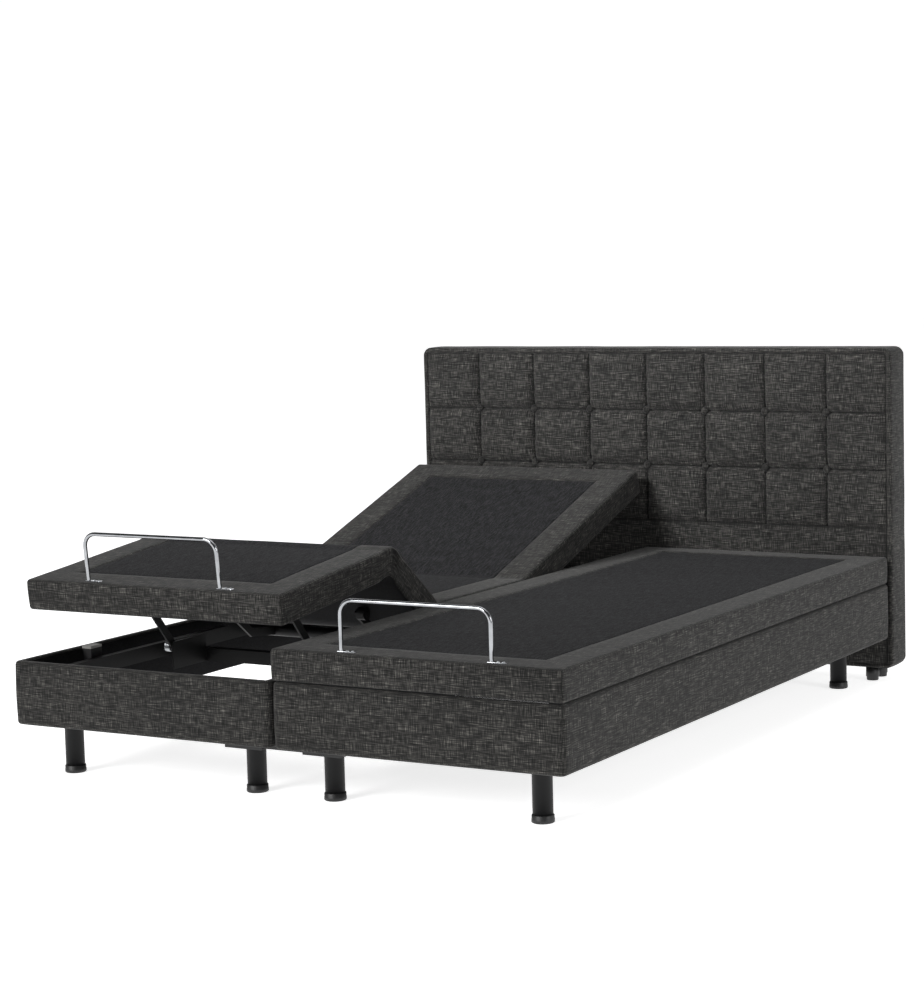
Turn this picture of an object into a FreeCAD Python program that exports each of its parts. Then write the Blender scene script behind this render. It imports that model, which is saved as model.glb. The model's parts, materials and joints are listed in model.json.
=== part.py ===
import FreeCAD, Part
import os
import re
import Sketcher

# Twin adjustable bed base: two upholstered boxes side by side, each with a jointed deck,
# and one tufted headboard. Left unit stands raised, right unit lies flat.
# +X runs across the bed, +Y towards the headboard, +Z up. Origin: centre of the footprint, on the floor.

doc = FreeCAD.newDocument("adjustable_bed_base")
sheet = doc.addObject("Spreadsheet::Sheet", "Sizes")

SIZES = {
    # overall
    "unit_width": 796, "unit_gap": 8, "unit_length": 2056, "deck_length": 2045,
    # box under each deck
    "leg_height": 133, "rail_height": 165, "rail_thickness": 22, "rest_gap": 2,
    "post_width": 30, "post_depth": 45, "post_inset": 250, "rest_clearance": 0.3,
    "leg_board_depth": 120, "leg_board_thickness": 22,
    # legs
    "leg_radius": 24.5, "leg_wall": 2, "foot_radius": 27.5, "foot_height": 20, "foot_floor": 4,
    "leg_inset": 111, "leg_inset_foot": 98, "leg_inset_head": 133,
    "plate_size": 110, "plate_thickness": 16,
    "strap_depth": 100, "strap_thickness": 12,
    # deck sections
    "deck_thickness": 80, "board_thickness": 15, "axis_depth": 9, "fold_gap": 7.5, "knee_bevel": 23.5,
    "calf_length": 520, "thigh_length": 280, "seat_length": 470,
    # raised angles in degrees; the calf turns back by a fixed share of the thigh's angle
    "left_back_tilt": 18.5, "left_thigh_tilt": 38.7, "right_back_tilt": 0, "right_thigh_tilt": 0,
    "calf_share": 0.15762,
    # hinges between the sections
    "hinge_width": 60, "hinge_spread": 250, "knuckle_radius": 6, "knuckle_length": 20,
    "knuckle_gap": 0.5, "pin_radius": 3, "leaf_thickness": 3, "running_fit": 0.05,
    # steel chassis inside each box
    "chassis_spread": 330, "chassis_tube_width": 20, "chassis_tube_height": 40, "chassis_rise": 117,
    "cross_tube_depth": 30, "cross_tube_height": 35, "cross_tube_rise": 82,
    "front_tube_offset": 65, "middle_tube_offset": 205, "rear_tube_offset": 235,
    "riser_depth": 60, "front_riser_offset": 30, "rear_riser_offset": 100,
    # torque tubes, lift arms and rollers
    "leg_axis_offset": 120, "back_axis_offset": 150, "torque_radius": 17, "journal_radius": 10,
    "journal_length": 30, "side_clearance": 1,
    "arm_spread": 220, "arm_thickness": 8, "arm_height": 24, "leg_arm_length": 270, "back_arm_length": 360,
    "leg_arm_share": 0.4309, "back_arm_share": 0.4799,
    "leg_elbow_reach": 120, "leg_elbow_drop": 25, "back_elbow_reach": 200, "back_elbow_drop": 65,
    "roller_radius": 17.5, "roller_width": 24, "roller_pin_radius": 6, "roller_clearance": 0.5,
    "lever_length": 80, "lever_pin_radius": 6, "actuator_spread": 60,
    # radius links that steady the calf section
    "link_pivot_offset": 66, "link_pivot_rise": 143, "link_hook_offset": 260, "link_hook_rise": 147,
    "link_share": 1.2888, "link_spread": 230, "link_thickness": 6, "link_height": 22, "link_eye_radius": 14,
    "link_pin_radius": 6, "link_free_play": 3, "link_head_radius": 16, "link_head_thickness": 16,
    # actuators
    "actuator_radius": 22, "rod_radius": 10, "rod_eye_radius": 16, "rod_eye_margin": 2, "lug_thickness": 6,
    "actuator_pin_drop": 45, "motor_width": 60, "motor_height": 62, "motor_length": 110,
    "actuator_nose": 130, "leg_rod_play": 1.6, "back_rod_play": 3.2,
    "leg_lever_start": 0, "back_lever_start": 8,
    "control_width": 180, "control_depth": 100, "control_height": 42, "control_inset": 60,
    # mattress retainer
    "bar_radius": 5.75, "bar_spread": 205, "bar_height": 130, "bar_corner": 35, "bar_inset": 20,
    "bar_plate_length": 56, "bar_plate_width": 24, "bar_plate_thickness": 3,
    "screw_radius": 4.5, "screw_height": 2, "screw_pitch": 22,
    # headboard
    "headboard_width": 1616, "headboard_depth": 116, "headboard_bottom": 40, "headboard_top": 1000,
    "headboard_corner": 35, "headboard_foam": 40, "headboard_frame": 45, "headboard_skin": 6,
    "button_radius": 13, "button_thickness": 6, "button_seat_radius": 14, "button_seat_depth": 14,
    "button_pitch": 200, "button_row_low": 635, "button_row_high": 806,
    "headboard_foot_radius": 20, "headboard_foot_spread": 735, "headboard_foot_inset": 23,
    "bracket_thickness": 4, "bracket_width": 50, "bracket_height": 150, "bracket_spread": 250,
}

for row, (alias, value) in enumerate(SIZES.items(), start=1):
    sheet.set(f"A{row}", alias)
    sheet.set(f"B{row}", str(value))
    sheet.setAlias(f"B{row}", alias)
doc.recompute()

# Levels and places that follow from the sizes, as expression text. "inset" places count from the foot end.
HALF_LENGTH = "((unit_length + bracket_thickness + headboard_depth) / 2)"
RAIL_TOP = "(leg_height + rail_height)"
DECK_LOW = f"({RAIL_TOP} + rest_gap)"
DECK_TOP = f"({DECK_LOW} + deck_thickness)"
AXIS_LEVEL = f"({DECK_TOP} - axis_depth)"
AXIS_TO_BOTTOM = "(deck_thickness - axis_depth)"
HIP_INSET = "(calf_length + thigh_length)"
BACK_INSET = f"({HIP_INSET} + seat_length)"
HEADBOARD_FRONT = "(unit_length + bracket_thickness)"
CHASSIS_LEVEL = "(leg_height + chassis_rise)"
CROSS_TUBE_LEVEL = "(leg_height + cross_tube_rise)"
ACTUATOR_LEVEL = f"({CROSS_TUBE_LEVEL} - actuator_pin_drop)"
LINK_PIVOT_LEVEL = "(leg_height + link_pivot_rise)"
LINK_HOOK_LEVEL = "(leg_height + link_hook_rise)"
ROD_EYE_WIDTH = "(2 * rod_radius + 2 * rod_eye_margin)"
# The chassis members stand at set distances from the folds they serve: knee, hip or back.
AXIS_INSET = {"leg": f"({HIP_INSET} + leg_axis_offset)", "back": f"({BACK_INSET} - back_axis_offset)"}
TUBE_INSET = {
    "front": "(calf_length + front_tube_offset)", "middle": f"({HIP_INSET} + middle_tube_offset)",
    "rear": f"({BACK_INSET} + rear_tube_offset)",
}
RISER_INSET = {"front": f"({HIP_INSET} + front_riser_offset)", "rear": f"({BACK_INSET} - rear_riser_offset)"}
LINK_PIVOT_INSET = "(calf_length - link_pivot_offset)"

X_AXIS = FreeCAD.Vector(1, 0, 0)
ALONG = {
    "X": FreeCAD.Rotation(FreeCAD.Vector(0, 1, 0), 90),
    "Y": FreeCAD.Rotation(X_AXIS, -90),
    "Z": FreeCAD.Rotation(),
}
parts = []


def formula(text):
    """Give every size name in the text its sheet."""
    return re.sub(r"[a-z]+(?:_[a-z]+)+", lambda found: "Sizes." + found.group(0), str(text))


def value_of(text):
    return float(sheet.evalExpression(formula(text)))


def bind(item, **properties):
    for name, text in properties.items():
        item.setExpression(name, formula(text))


def put(item, x, y, z, turn=None):
    """Place an item; turn is its rotation about the X axis in degrees."""
    if turn is not None:
        item.Placement = FreeCAD.Placement(FreeCAD.Vector(), FreeCAD.Rotation(X_AXIS, 1))
        item.setExpression("Placement.Rotation.Angle", formula(turn))
    for axis, text in (("x", x), ("y", y), ("z", z)):
        item.setExpression(f"Placement.Base.{axis}", formula(text))
    return item


def put_in_bed(item, x, inset, z, turn=None):
    """The same, with y counted from the foot end of the bed."""
    return put(item, x, f"{inset} - {HALF_LENGTH}", z, turn)


def box(name, size, corner):
    item = doc.addObject("Part::Box", name)
    bind(item, Length=size[0], Width=size[1], Height=size[2])
    return put(item, *corner)


def rod(name, radius, length, start, along="X"):
    item = doc.addObject("Part::Cylinder", name)
    bind(item, Radius=radius, Height=length)
    item.Placement = FreeCAD.Placement(FreeCAD.Vector(), ALONG[along])
    return put(item, *start)


def joined(name, items):
    item = doc.addObject("Part::MultiFuse", name)
    item.Shapes = items
    item.Refine = True
    return item


def together(name, items):
    """Separate solids kept side by side in one item."""
    item = doc.addObject("Part::Compound", name)
    item.Links = items
    return item


def minus(name, base, tools):
    item = doc.addObject("Part::Cut", name)
    item.Base = base
    item.Tool = tools[0] if len(tools) == 1 else together(name + "_tools", tools)
    return item


def tube(name, radius, bore, length, start, along="X"):
    outer = rod(name + "_outer", radius, length, start, along)
    return minus(name, outer, [rod(name + "_bore", bore, length, start, along)])


def body_plane(body, role):
    return next(feature for feature in body.Origin.OriginFeatures if feature.Role == role)


def slab(name, outline, width):
    """Extrude an outline of (y, z) points both ways along X."""
    body = doc.addObject("PartDesign::Body", name)
    sketch = body.newObject("Sketcher::SketchObject", name + "_outline")
    sketch.AttachmentSupport = (body_plane(body, "YZ_Plane"), [""])
    sketch.MapMode = "FlatFace"
    corners = [FreeCAD.Vector(value_of(y), value_of(z), 0) for y, z in outline]
    count = len(corners)
    for index in range(count):
        sketch.addGeometry(Part.LineSegment(corners[index], corners[(index + 1) % count]), False)
    for index in range(count):
        sketch.addConstraint(Sketcher.Constraint("Coincident", index, 2, (index + 1) % count, 1))
    for index, (y, z) in enumerate(outline):
        for kind, text, value in (("DistanceX", y, corners[index].x), ("DistanceY", z, corners[index].y)):
            number = sketch.addConstraint(Sketcher.Constraint(kind, -1, 1, index, 1, value))
            sketch.renameConstraint(number, f"{kind}{index}")
            sketch.setExpression(f"Constraints.{kind}{index}", formula(text))
    pad = body.newObject("PartDesign::Pad", name + "_pad")
    pad.Profile = sketch
    pad.SideType = "Symmetric"
    bind(pad, Length=width)
    return body


def hand_in(item, label):
    item.Label = label
    parts.append(item)
    return item


def unit_sides():
    """Name, direction of +X from the bed's middle, and centre line of each unit."""
    middle = "(unit_gap + unit_width) / 2"
    return (("left", "-1", f"(0 - {middle})"), ("right", "1", f"({middle})"))


# ---------------------------------------------------------------- boxes, legs, fastenings between units
def side_rails(side, centre):
    rails = []
    for place, offset in (("a", "0 - unit_width / 2"), ("b", "unit_width / 2 - rail_thickness")):
        rails.append(box(
            f"{side}_side_rail_{place}", ("rail_thickness", "unit_length", "rail_height"),
            (f"{centre} + {offset}", "0", "leg_height")))
    hand_in(put_in_bed(together(f"{side}_side_rail_pair", rails), "0", "0", "0"), f"{side}_side_rails")


def end_rails(side, centre):
    rails = []
    for place, inset in (("foot", "0"), ("head", "unit_length - rail_thickness")):
        rails.append(box(
            f"{side}_{place}_rail", ("unit_width - 2 * rail_thickness", "rail_thickness", "rail_height"),
            (f"{centre} - unit_width / 2 + rail_thickness", inset, "leg_height")))
    hand_in(put_in_bed(together(f"{side}_end_rail_pair", rails), "0", "0", "0"), f"{side}_end_rails")


def support_blocks():
    """Posts on the side rails that the deck comes down on, and the boards the legs are screwed to."""
    blocks = []
    post_top = f"{DECK_LOW} - rest_clearance"
    for side, _, centre in unit_sides():
        for place, x in (("a", "rail_thickness - unit_width / 2"),
                         ("b", "unit_width / 2 - rail_thickness - post_width")):
            for end, inset in (("foot", "post_inset"), ("head", "unit_length - post_inset - post_depth")):
                blocks.append(box(
                    f"{side}_post_{place}_{end}", ("post_width", "post_depth", f"{post_top} - leg_height"),
                    (f"{centre} + {x}", inset, "leg_height")))
        for end, inset in (("foot", "leg_inset_foot"), ("head", "unit_length - leg_inset_head")):
            blocks.append(box(
                f"{side}_leg_board_{end}",
                ("unit_width - 2 * rail_thickness", "leg_board_depth", "leg_board_thickness"),
                (f"{centre} - unit_width / 2 + rail_thickness", f"{inset} - leg_board_depth / 2",
                 "leg_height")))
    hand_in(put_in_bed(together("support_block_set", blocks), "0", "0", "0"), "support_blocks")


def leg_places():
    """Name, x, inset and whether a steel plate sits on top, for all eight legs."""
    for side, out, centre in unit_sides():
        for end, inset in (("foot", "leg_inset_foot"), ("head", "(unit_length - leg_inset_head)")):
            for place, direction, plated in (("inner", "-1", True), ("outer", "1", False)):
                x = f"({centre} + ({out}) * ({direction}) * (unit_width / 2 - leg_inset))"
                yield f"{side}_{end}_{place}", x, inset, plated


def legs():
    tubes = []
    feet = []
    plates = []
    for name, x, inset, plated in leg_places():
        top = "(leg_height - plate_thickness)" if plated else "leg_height"
        tubes.append(tube(
            f"{name}_leg", "leg_radius", "leg_radius - leg_wall", f"{top} - foot_floor",
            (x, inset, "foot_floor"), "Z"))
        cup = rod(f"{name}_cup", "foot_radius", "foot_height", (x, inset, "0"), "Z")
        seat = rod(f"{name}_cup_seat", "leg_radius", "foot_height", (x, inset, "foot_floor"), "Z")
        feet.append(minus(f"{name}_foot", cup, [seat]))
        if plated:
            plates.append(box(
                f"{name}_plate", ("plate_size", "plate_size", "plate_thickness"),
                (f"{x} - plate_size / 2", f"{inset} - plate_size / 2", top)))
    hand_in(put_in_bed(together("leg_set", tubes), "0", "0", "0"), "legs")
    hand_in(put_in_bed(together("leg_foot_set", feet), "0", "0", "0"), "leg_feet")
    hand_in(put_in_bed(together("leg_plate_set", plates), "0", "0", "0"), "leg_plates")


def unit_connector():
    """Bridges between the inner leg plates, one at each end, that keep the two boxes together."""
    straps = []
    half = "(unit_gap / 2 + leg_inset - plate_size / 2)"
    for end, inset in (("foot", "leg_inset_foot"), ("head", "(unit_length - leg_inset_head)")):
        straps.append(box(
            f"connector_{end}", (f"2 * {half}", "strap_depth", "strap_thickness"),
            (f"0 - {half}", f"{inset} - strap_depth / 2", "leg_height - strap_thickness")))
    hand_in(put_in_bed(together("connector_straps", straps), "0", "0", "0"), "unit_connector")


# ---------------------------------------------------------------- deck sections
def section(side, name, near, far, place, bevel_near="0", bevel_far="0"):
    """Plywood board with its foam and cover, from near to far along the deck, about the fold axis.
    A bevelled end leans back by the given angle, so that the fold can close below."""
    def edge(end, bevel, level):
        return f"{end} + {level} * tan({bevel})"
    board_top = "(board_thickness - " + AXIS_TO_BOTTOM + ")"
    bottom = "(0 - " + AXIS_TO_BOTTOM + ")"
    near_back = f"(0 - ({bevel_near}))"
    for layer, low, high in (("board", bottom, board_top), ("pad", board_top, "axis_depth")):
        outline = (
            (edge(near, near_back, f"min(0; {low})"), low), (edge(far, bevel_far, f"min(0; {low})"), low),
            (edge(far, bevel_far, f"min(0; {high})"), high), (edge(near, near_back, f"min(0; {high})"), high))
        item = slab(f"{side}_{name}_{layer}_body", outline, "unit_width")
        hand_in(put_in_bed(item, *place), f"{side}_{name}_{layer}")


def leaf(name, direction, bevel, outer_knuckles, pinned):
    """One hinge leaf about the fold axis. It stands on the section end at y = direction * fold_gap."""
    inner = f"(fold_gap - leaf_thickness / cos({bevel}))"
    top = "(knuckle_radius + side_clearance)"
    outline = tuple(
        (f"{direction} * ({start} + {depth} * tan({bevel}))", f"0 - {depth}")
        for start, depth in ((inner, top), ("fold_gap", top), ("fold_gap", AXIS_TO_BOTTOM),
                             (inner, AXIS_TO_BOTTOM)))
    solids = [slab(name + "_plate", outline, "hinge_width")]
    half = "(knuckle_length / 2)"
    if outer_knuckles:
        spans = (("0 - hinge_width / 2", f"hinge_width / 2 - {half} - knuckle_gap / 2"),
                 (f"{half} + knuckle_gap / 2", f"hinge_width / 2 - {half} - knuckle_gap / 2"))
    else:
        spans = ((f"knuckle_gap / 2 - {half}", "knuckle_length - knuckle_gap"),)
    bores = []
    reach = "fold_gap + (knuckle_radius + side_clearance) * tan(" + bevel + ")"
    for index, (start, length) in enumerate(spans):
        solids.append(rod(f"{name}_knuckle_{index}", "knuckle_radius", length, (start, "0", "0")))
        neck_y = "knuckle_radius / 2" if direction == "1" else f"0 - ({reach})"
        solids.append(box(f"{name}_neck_{index}", (length, f"{reach} - knuckle_radius / 2", f"{top} + 1"),
                          (start, neck_y, f"0 - {top} - 1")))
        bore = "pin_radius" if pinned else "pin_radius + running_fit"
        bores.append(rod(f"{name}_bore_{index}", bore, length, (start, "0", "0")))
    return minus(name, joined(name + "_solid", solids), bores)


def hinge_side(side, fold, direction, bevel, pinned):
    """Both leaves of one fold that belong to the same section, with their pins if they carry them."""
    items = []
    _, _, centre = next(row for row in unit_sides() if row[0] == side)
    for place, offset in (("a", "0 - hinge_spread"), ("b", "hinge_spread")):
        name = f"{side}_{fold}_{'fixed' if pinned else 'moving'}_leaf_{place}"
        item = leaf(name, direction, bevel, pinned, pinned)
        solids = [item]
        if pinned:
            solids.append(rod(name + "_pin", "pin_radius", "hinge_width", ("0 - hinge_width / 2", "0", "0")))
        pair = together(name + "_set", solids)
        items.append(put(pair, f"{centre} + {offset}", "0", "0"))
    return items


def seat_hinges():
    """The leaves on the fixed seat sections: back fold at their head end, hip fold at their foot end."""
    items = []
    for side, _, _ in unit_sides():
        for fold, inset, direction in (("back", BACK_INSET, "-1"), ("hip", HIP_INSET, "1")):
            pair = together(f"{side}_{fold}_seat_leaves", hinge_side(side, fold, direction, "0", True))
            items.append(put(pair, "0", inset, AXIS_LEVEL))
    hand_in(put_in_bed(together("seat_hinge_set", items), "0", "0", "0"), "seat_hinges")


def knee_place(side):
    tilt = f"{side}_thigh_tilt"
    return (f"({HIP_INSET} - thigh_length * cos({tilt}))", f"({AXIS_LEVEL} + thigh_length * sin({tilt}))")


def deck(side, centre):
    hip = (centre, HIP_INSET, AXIS_LEVEL, f"0 - {side}_thigh_tilt")
    knee_inset, knee_level = knee_place(side)
    knee = (centre, knee_inset, knee_level, f"calf_share * {side}_thigh_tilt")
    back = (centre, BACK_INSET, AXIS_LEVEL, f"{side}_back_tilt")
    section(side, "seat", "fold_gap", "seat_length - fold_gap", (centre, HIP_INSET, AXIS_LEVEL))
    section(side, "back", "fold_gap", f"deck_length - {BACK_INSET}", back)
    section(side, "thigh", "fold_gap - thigh_length", "0 - fold_gap", hip, bevel_near="knee_bevel")
    section(side, "calf", "0 - calf_length", "0 - fold_gap", knee, bevel_far="knee_bevel")

    leaves = together(f"{side}_back_leaf_set", hinge_side(side, "back", "1", "0", False))
    hand_in(put_in_bed(leaves, "0", *back[1:]), f"{side}_back_hinges")

    hip_leaves = together(f"{side}_hip_leaf_set", hinge_side(side, "hip", "-1", "0", False))
    knee_leaves = together(f"{side}_knee_leaf_set", hinge_side(side, "knee", "1", "knee_bevel", True))
    put(knee_leaves, "0", "0 - thigh_length", "0")
    thigh_leaves = together(f"{side}_thigh_leaf_set", [hip_leaves, knee_leaves])
    hand_in(put_in_bed(thigh_leaves, "0", *hip[1:]), f"{side}_thigh_hinges")

    fittings = hinge_side(side, "knee", "-1", "knee_bevel", False) + link_brackets(side, centre)
    calf_fittings = together(f"{side}_calf_fitting_set", fittings)
    hand_in(put_in_bed(calf_fittings, "0", *knee[1:]), f"{side}_calf_fittings")
    retainer(side, centre, knee)


def link_side(sign):
    """Start of lug, start of pin and start of pin head beside a link, and the direction they run."""
    inner = "(link_spread - link_thickness / 2 - side_clearance)"
    spans = {
        "lug": (f"({inner} - lug_thickness)", "lug_thickness"),
        "pin": (inner, "link_thickness + 2 * side_clearance"),
        "head": (f"({inner} + link_thickness + 2 * side_clearance)", "link_head_thickness"),
    }
    placed = {}
    for name, (start, length) in spans.items():
        placed[name] = (start if sign == "1" else f"(0 - {start} - ({length}))", length)
    return placed


def link_pin(name, centre, sign, y, z):
    spans = link_side(sign)
    pin = rod(name, "link_pin_radius", spans["pin"][1], (f"{centre} + {spans['pin'][0]}", y, z))
    head = rod(name + "_head", "link_head_radius", spans["head"][1],
               (f"{centre} + {spans['head'][0]}", y, z))
    return joined(name + "_headed", [pin, head])


def link_brackets(side, centre):
    """Lugs under the calf board, each with the pin its radius link hangs on."""
    items = []
    y = "(0 - link_hook_offset)"
    z = f"({LINK_HOOK_LEVEL} - {AXIS_LEVEL})"
    bottom = f"(0 - {AXIS_TO_BOTTOM})"
    for sign in ("-1", "1"):
        name = f"{side}_hook_{'a' if sign == '-1' else 'b'}"
        start, length = link_side(sign)["lug"]
        items.append(box(
            name + "_lug", (length, "2 * link_eye_radius", f"{bottom} - {z} + link_eye_radius"),
            (f"{centre} + {start}", f"{y} - link_eye_radius", f"{z} - link_eye_radius")))
        items.append(link_pin(name + "_pin", centre, sign, y, z))
    return items


def retainer(side, centre, knee):
    """Chrome mattress bar: an arch on two screwed plates at the foot of the calf section."""
    name = f"{side}_bar"
    y = "bar_inset - calf_length"
    foot = "(axis_depth + bar_plate_thickness)"
    bend = "(axis_depth + bar_height - bar_radius - bar_corner)"
    arch = []
    plates = []
    for place, sign in (("a", "-1"), ("b", "1")):
        x = f"({sign} * bar_spread)"
        arch.append(rod(f"{name}_post_{place}", "bar_radius", f"{bend} - {foot}", (x, y, foot), "Z"))
        corner = doc.addObject("Part::Torus", f"{name}_corner_{place}")
        bind(corner, Radius1="bar_corner", Radius2="bar_radius")
        corner.Angle3 = 90
        spin = 90 if sign == "-1" else 0
        corner.Placement = FreeCAD.Placement(
            FreeCAD.Vector(),
            FreeCAD.Rotation(X_AXIS, 90).multiply(FreeCAD.Rotation(FreeCAD.Vector(0, 0, 1), spin)))
        put(corner, f"{sign} * (bar_spread - bar_corner)", y, bend)
        arch.append(corner)
        low = f"{x} - bar_plate_width / 2"
        plate = box(f"{name}_plate_{place}", ("bar_plate_length", "bar_plate_width", "bar_plate_thickness"),
                    (low, f"{y} - bar_plate_width / 2", "axis_depth"))
        plates.append(plate)
        for index in (0, 1):
            plates.append(rod(
                f"{name}_screw_{place}_{index}", "screw_radius", "screw_height",
                (f"{x} + (bar_plate_length - bar_plate_width) / 2 + {index} * screw_pitch / 2 + screw_radius",
                 f"{y} + ({index} - 0.5) * screw_radius * 2", foot), "Z"))
    arch.append(rod(f"{name}_top", "bar_radius", "2 * (bar_spread - bar_corner)",
                    ("bar_corner - bar_spread", y, f"{bend} + bar_corner")))
    whole = together(f"{name}_set", [joined(f"{name}_arch", arch)] + plates)
    hand_in(put_in_bed(whole, *knee), f"{side}_retainer_bar")


# ---------------------------------------------------------------- chassis and lift mechanism
def chassis(side, centre):
    items = []
    low = f"{CHASSIS_LEVEL} - chassis_tube_height / 2"
    top = f"{CHASSIS_LEVEL} + chassis_tube_height / 2"
    face = "(chassis_spread - chassis_tube_width / 2)"
    for place, x in (("a", "0 - chassis_spread"), ("b", "chassis_spread")):
        start = f"{centre} + {x} - chassis_tube_width / 2"
        items.append(box(
            f"{side}_chassis_tube_{place}",
            ("chassis_tube_width", "unit_length - 2 * rail_thickness", "chassis_tube_height"),
            (start, "rail_thickness", low)))
        for end, inset in RISER_INSET.items():
            items.append(box(
                f"{side}_riser_{place}_{end}", ("chassis_tube_width", "riser_depth", f"{DECK_LOW} - ({top})"),
                (start, inset, top)))
        for name, inset in AXIS_INSET.items():
            x_start = f"{centre} - {face}" if place == "a" else f"{centre} + {face} - journal_length"
            items.append(rod(f"{side}_{name}_journal_{place}", "journal_radius", "journal_length",
                             (x_start, inset, CHASSIS_LEVEL)))
    for name, inset in TUBE_INSET.items():
        items.append(box(
            f"{side}_{name}_cross_tube", (f"2 * {face}", "cross_tube_depth", "cross_tube_height"),
            (f"{centre} - {face}", inset, CROSS_TUBE_LEVEL)))
    for sign in ("-1", "1"):
        name = f"{side}_link_{'a' if sign == '-1' else 'b'}"
        start, length = link_side(sign)["lug"]
        lug_start = f"({LINK_PIVOT_INSET} - link_eye_radius)"
        lug_top = f"({LINK_PIVOT_LEVEL} + link_eye_radius)"
        lug_size = (length, f"{TUBE_INSET['front']} - {lug_start}", f"{lug_top} - {CROSS_TUBE_LEVEL}")
        items.append(box(name + "_lug", lug_size, (f"{centre} + {start}", lug_start, CROSS_TUBE_LEVEL)))
        items.append(link_pin(name + "_pin", centre, sign, LINK_PIVOT_INSET, LINK_PIVOT_LEVEL))
    for name, tube_name, out in (("back", "front", "1"), ("leg", "rear", "-1")):
        items.extend(actuator_lugs(side, centre, name, tube_name, out))
    hand_in(put_in_bed(together(f"{side}_chassis_set", items), "0", "0", "0"), f"{side}_chassis")


def actuator_lugs(side, centre, name, tube_name, out):
    """Two cheeks under a cross tube, and the pin between them that the actuator turns on."""
    items = []
    middle = f"({centre} + {out} * actuator_spread)"
    gap = f"({ROD_EYE_WIDTH} / 2 + side_clearance)"
    near = TUBE_INSET[tube_name]
    for place, start in (("a", f"0 - {gap} - lug_thickness"), ("b", gap)):
        items.append(box(
            f"{side}_{name}_lug_{place}",
            ("lug_thickness", "cross_tube_depth", "actuator_pin_drop + cross_tube_depth / 2"),
            (f"{middle} + {start}", near, f"{ACTUATOR_LEVEL} - cross_tube_depth / 2")))
    items.append(rod(f"{side}_{name}_lug_pin", "lever_pin_radius", f"2 * {gap}",
                     (f"{middle} - {gap}", f"{near} + cross_tube_depth / 2", ACTUATOR_LEVEL)))
    return items


def arm_rise(name):
    """Angle of the lift arm when the deck lies flat: its roller just clears the board."""
    level = f"{DECK_LOW} - roller_radius - roller_clearance - {CHASSIS_LEVEL}"
    return f"asin(({level}) / {name}_arm_length)"


def lift_arm(side, centre, name, toward, out, turn):
    """Torque tube with two cranked arms, their roller pins and the lever the actuator pushes."""
    length = "2 * (chassis_spread - chassis_tube_width / 2 - side_clearance)"
    rise = arm_rise(name)
    tip_y = f"{toward} * {name}_arm_length * cos({rise})"
    tip_z = f"{name}_arm_length * sin({rise})"
    elbow_y = f"{toward} * {name}_elbow_reach"
    elbow_z = f"(0 - {name}_elbow_drop)"
    half = "arm_height / 2"
    items = [rod(f"{side}_{name}_torque_tube", "torque_radius", length, (f"0 - {length} / 2", "0", "0"))]
    for place, sign in (("a", "-1"), ("b", "1")):
        outline = (
            ("0", f"{half}"), (elbow_y, f"{elbow_z} + {half}"), (tip_y, f"{tip_z} + {half}"),
            (f"{tip_y} + {toward} * {half}", tip_z),
            (tip_y, f"{tip_z} - {half}"), (elbow_y, f"{elbow_z} - {half}"), ("0", f"0 - {half}"))
        arm = slab(f"{side}_{name}_arm_{place}", outline, "arm_thickness")
        items.append(put(arm, f"{sign} * arm_spread", "0", "0"))
        pin_length = "(arm_thickness / 2 + 2 * side_clearance + roller_width)"
        start = "arm_spread" if sign == "1" else f"0 - arm_spread - {pin_length}"
        items.append(rod(
            f"{side}_{name}_roller_pin_{place}", "roller_pin_radius", pin_length, (start, tip_y, tip_z)))
    gap = f"({ROD_EYE_WIDTH} / 2 + side_clearance)"
    middle = f"({out} * actuator_spread)"
    lean = f"{'0 -' if toward == '1' else ''} {name}_lever_start"
    lever = box(f"{side}_{name}_lever", ("lug_thickness", "arm_height", "lever_length"),
                (f"{middle} + {gap}", f"0 - {half}", "0 - lever_length"))
    pin = rod(f"{side}_{name}_lever_pin", "lever_pin_radius", f"2 * {gap}",
              (f"{middle} - {gap}", "0", "0 - lever_length"))
    boss = rod(f"{side}_{name}_lever_boss", half, "lug_thickness",
               (f"{middle} + {gap}", "0", "0 - lever_length"))
    hanging = joined(f"{side}_{name}_lever_set", [lever, pin, boss])
    items.append(put(hanging, "0", "0", "0", lean))
    solid = joined(f"{side}_{name}_arm_solid", items)
    bore = rod(f"{side}_{name}_torque_bore", "journal_radius + running_fit", length,
               (f"0 - {length} / 2", "0", "0"))
    arm = minus(f"{side}_{name}_arm_bored", solid, [bore])
    place = (AXIS_INSET[name], CHASSIS_LEVEL, turn)
    hand_in(put_in_bed(arm, centre, *place), f"{side}_{name}_lift_arm")

    rollers = []
    for which, start in (("a", "0 - arm_spread - arm_thickness / 2 - side_clearance - roller_width"),
                         ("b", "arm_spread + arm_thickness / 2 + side_clearance")):
        rollers.append(tube(f"{side}_{name}_roller_{which}", "roller_radius",
                            "roller_pin_radius + running_fit", "roller_width", (start, tip_y, tip_z)))
    roller_set = together(f"{side}_{name}_roller_set", rollers)
    hand_in(put_in_bed(roller_set, centre, *place), f"{side}_{name}_rollers")


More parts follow.
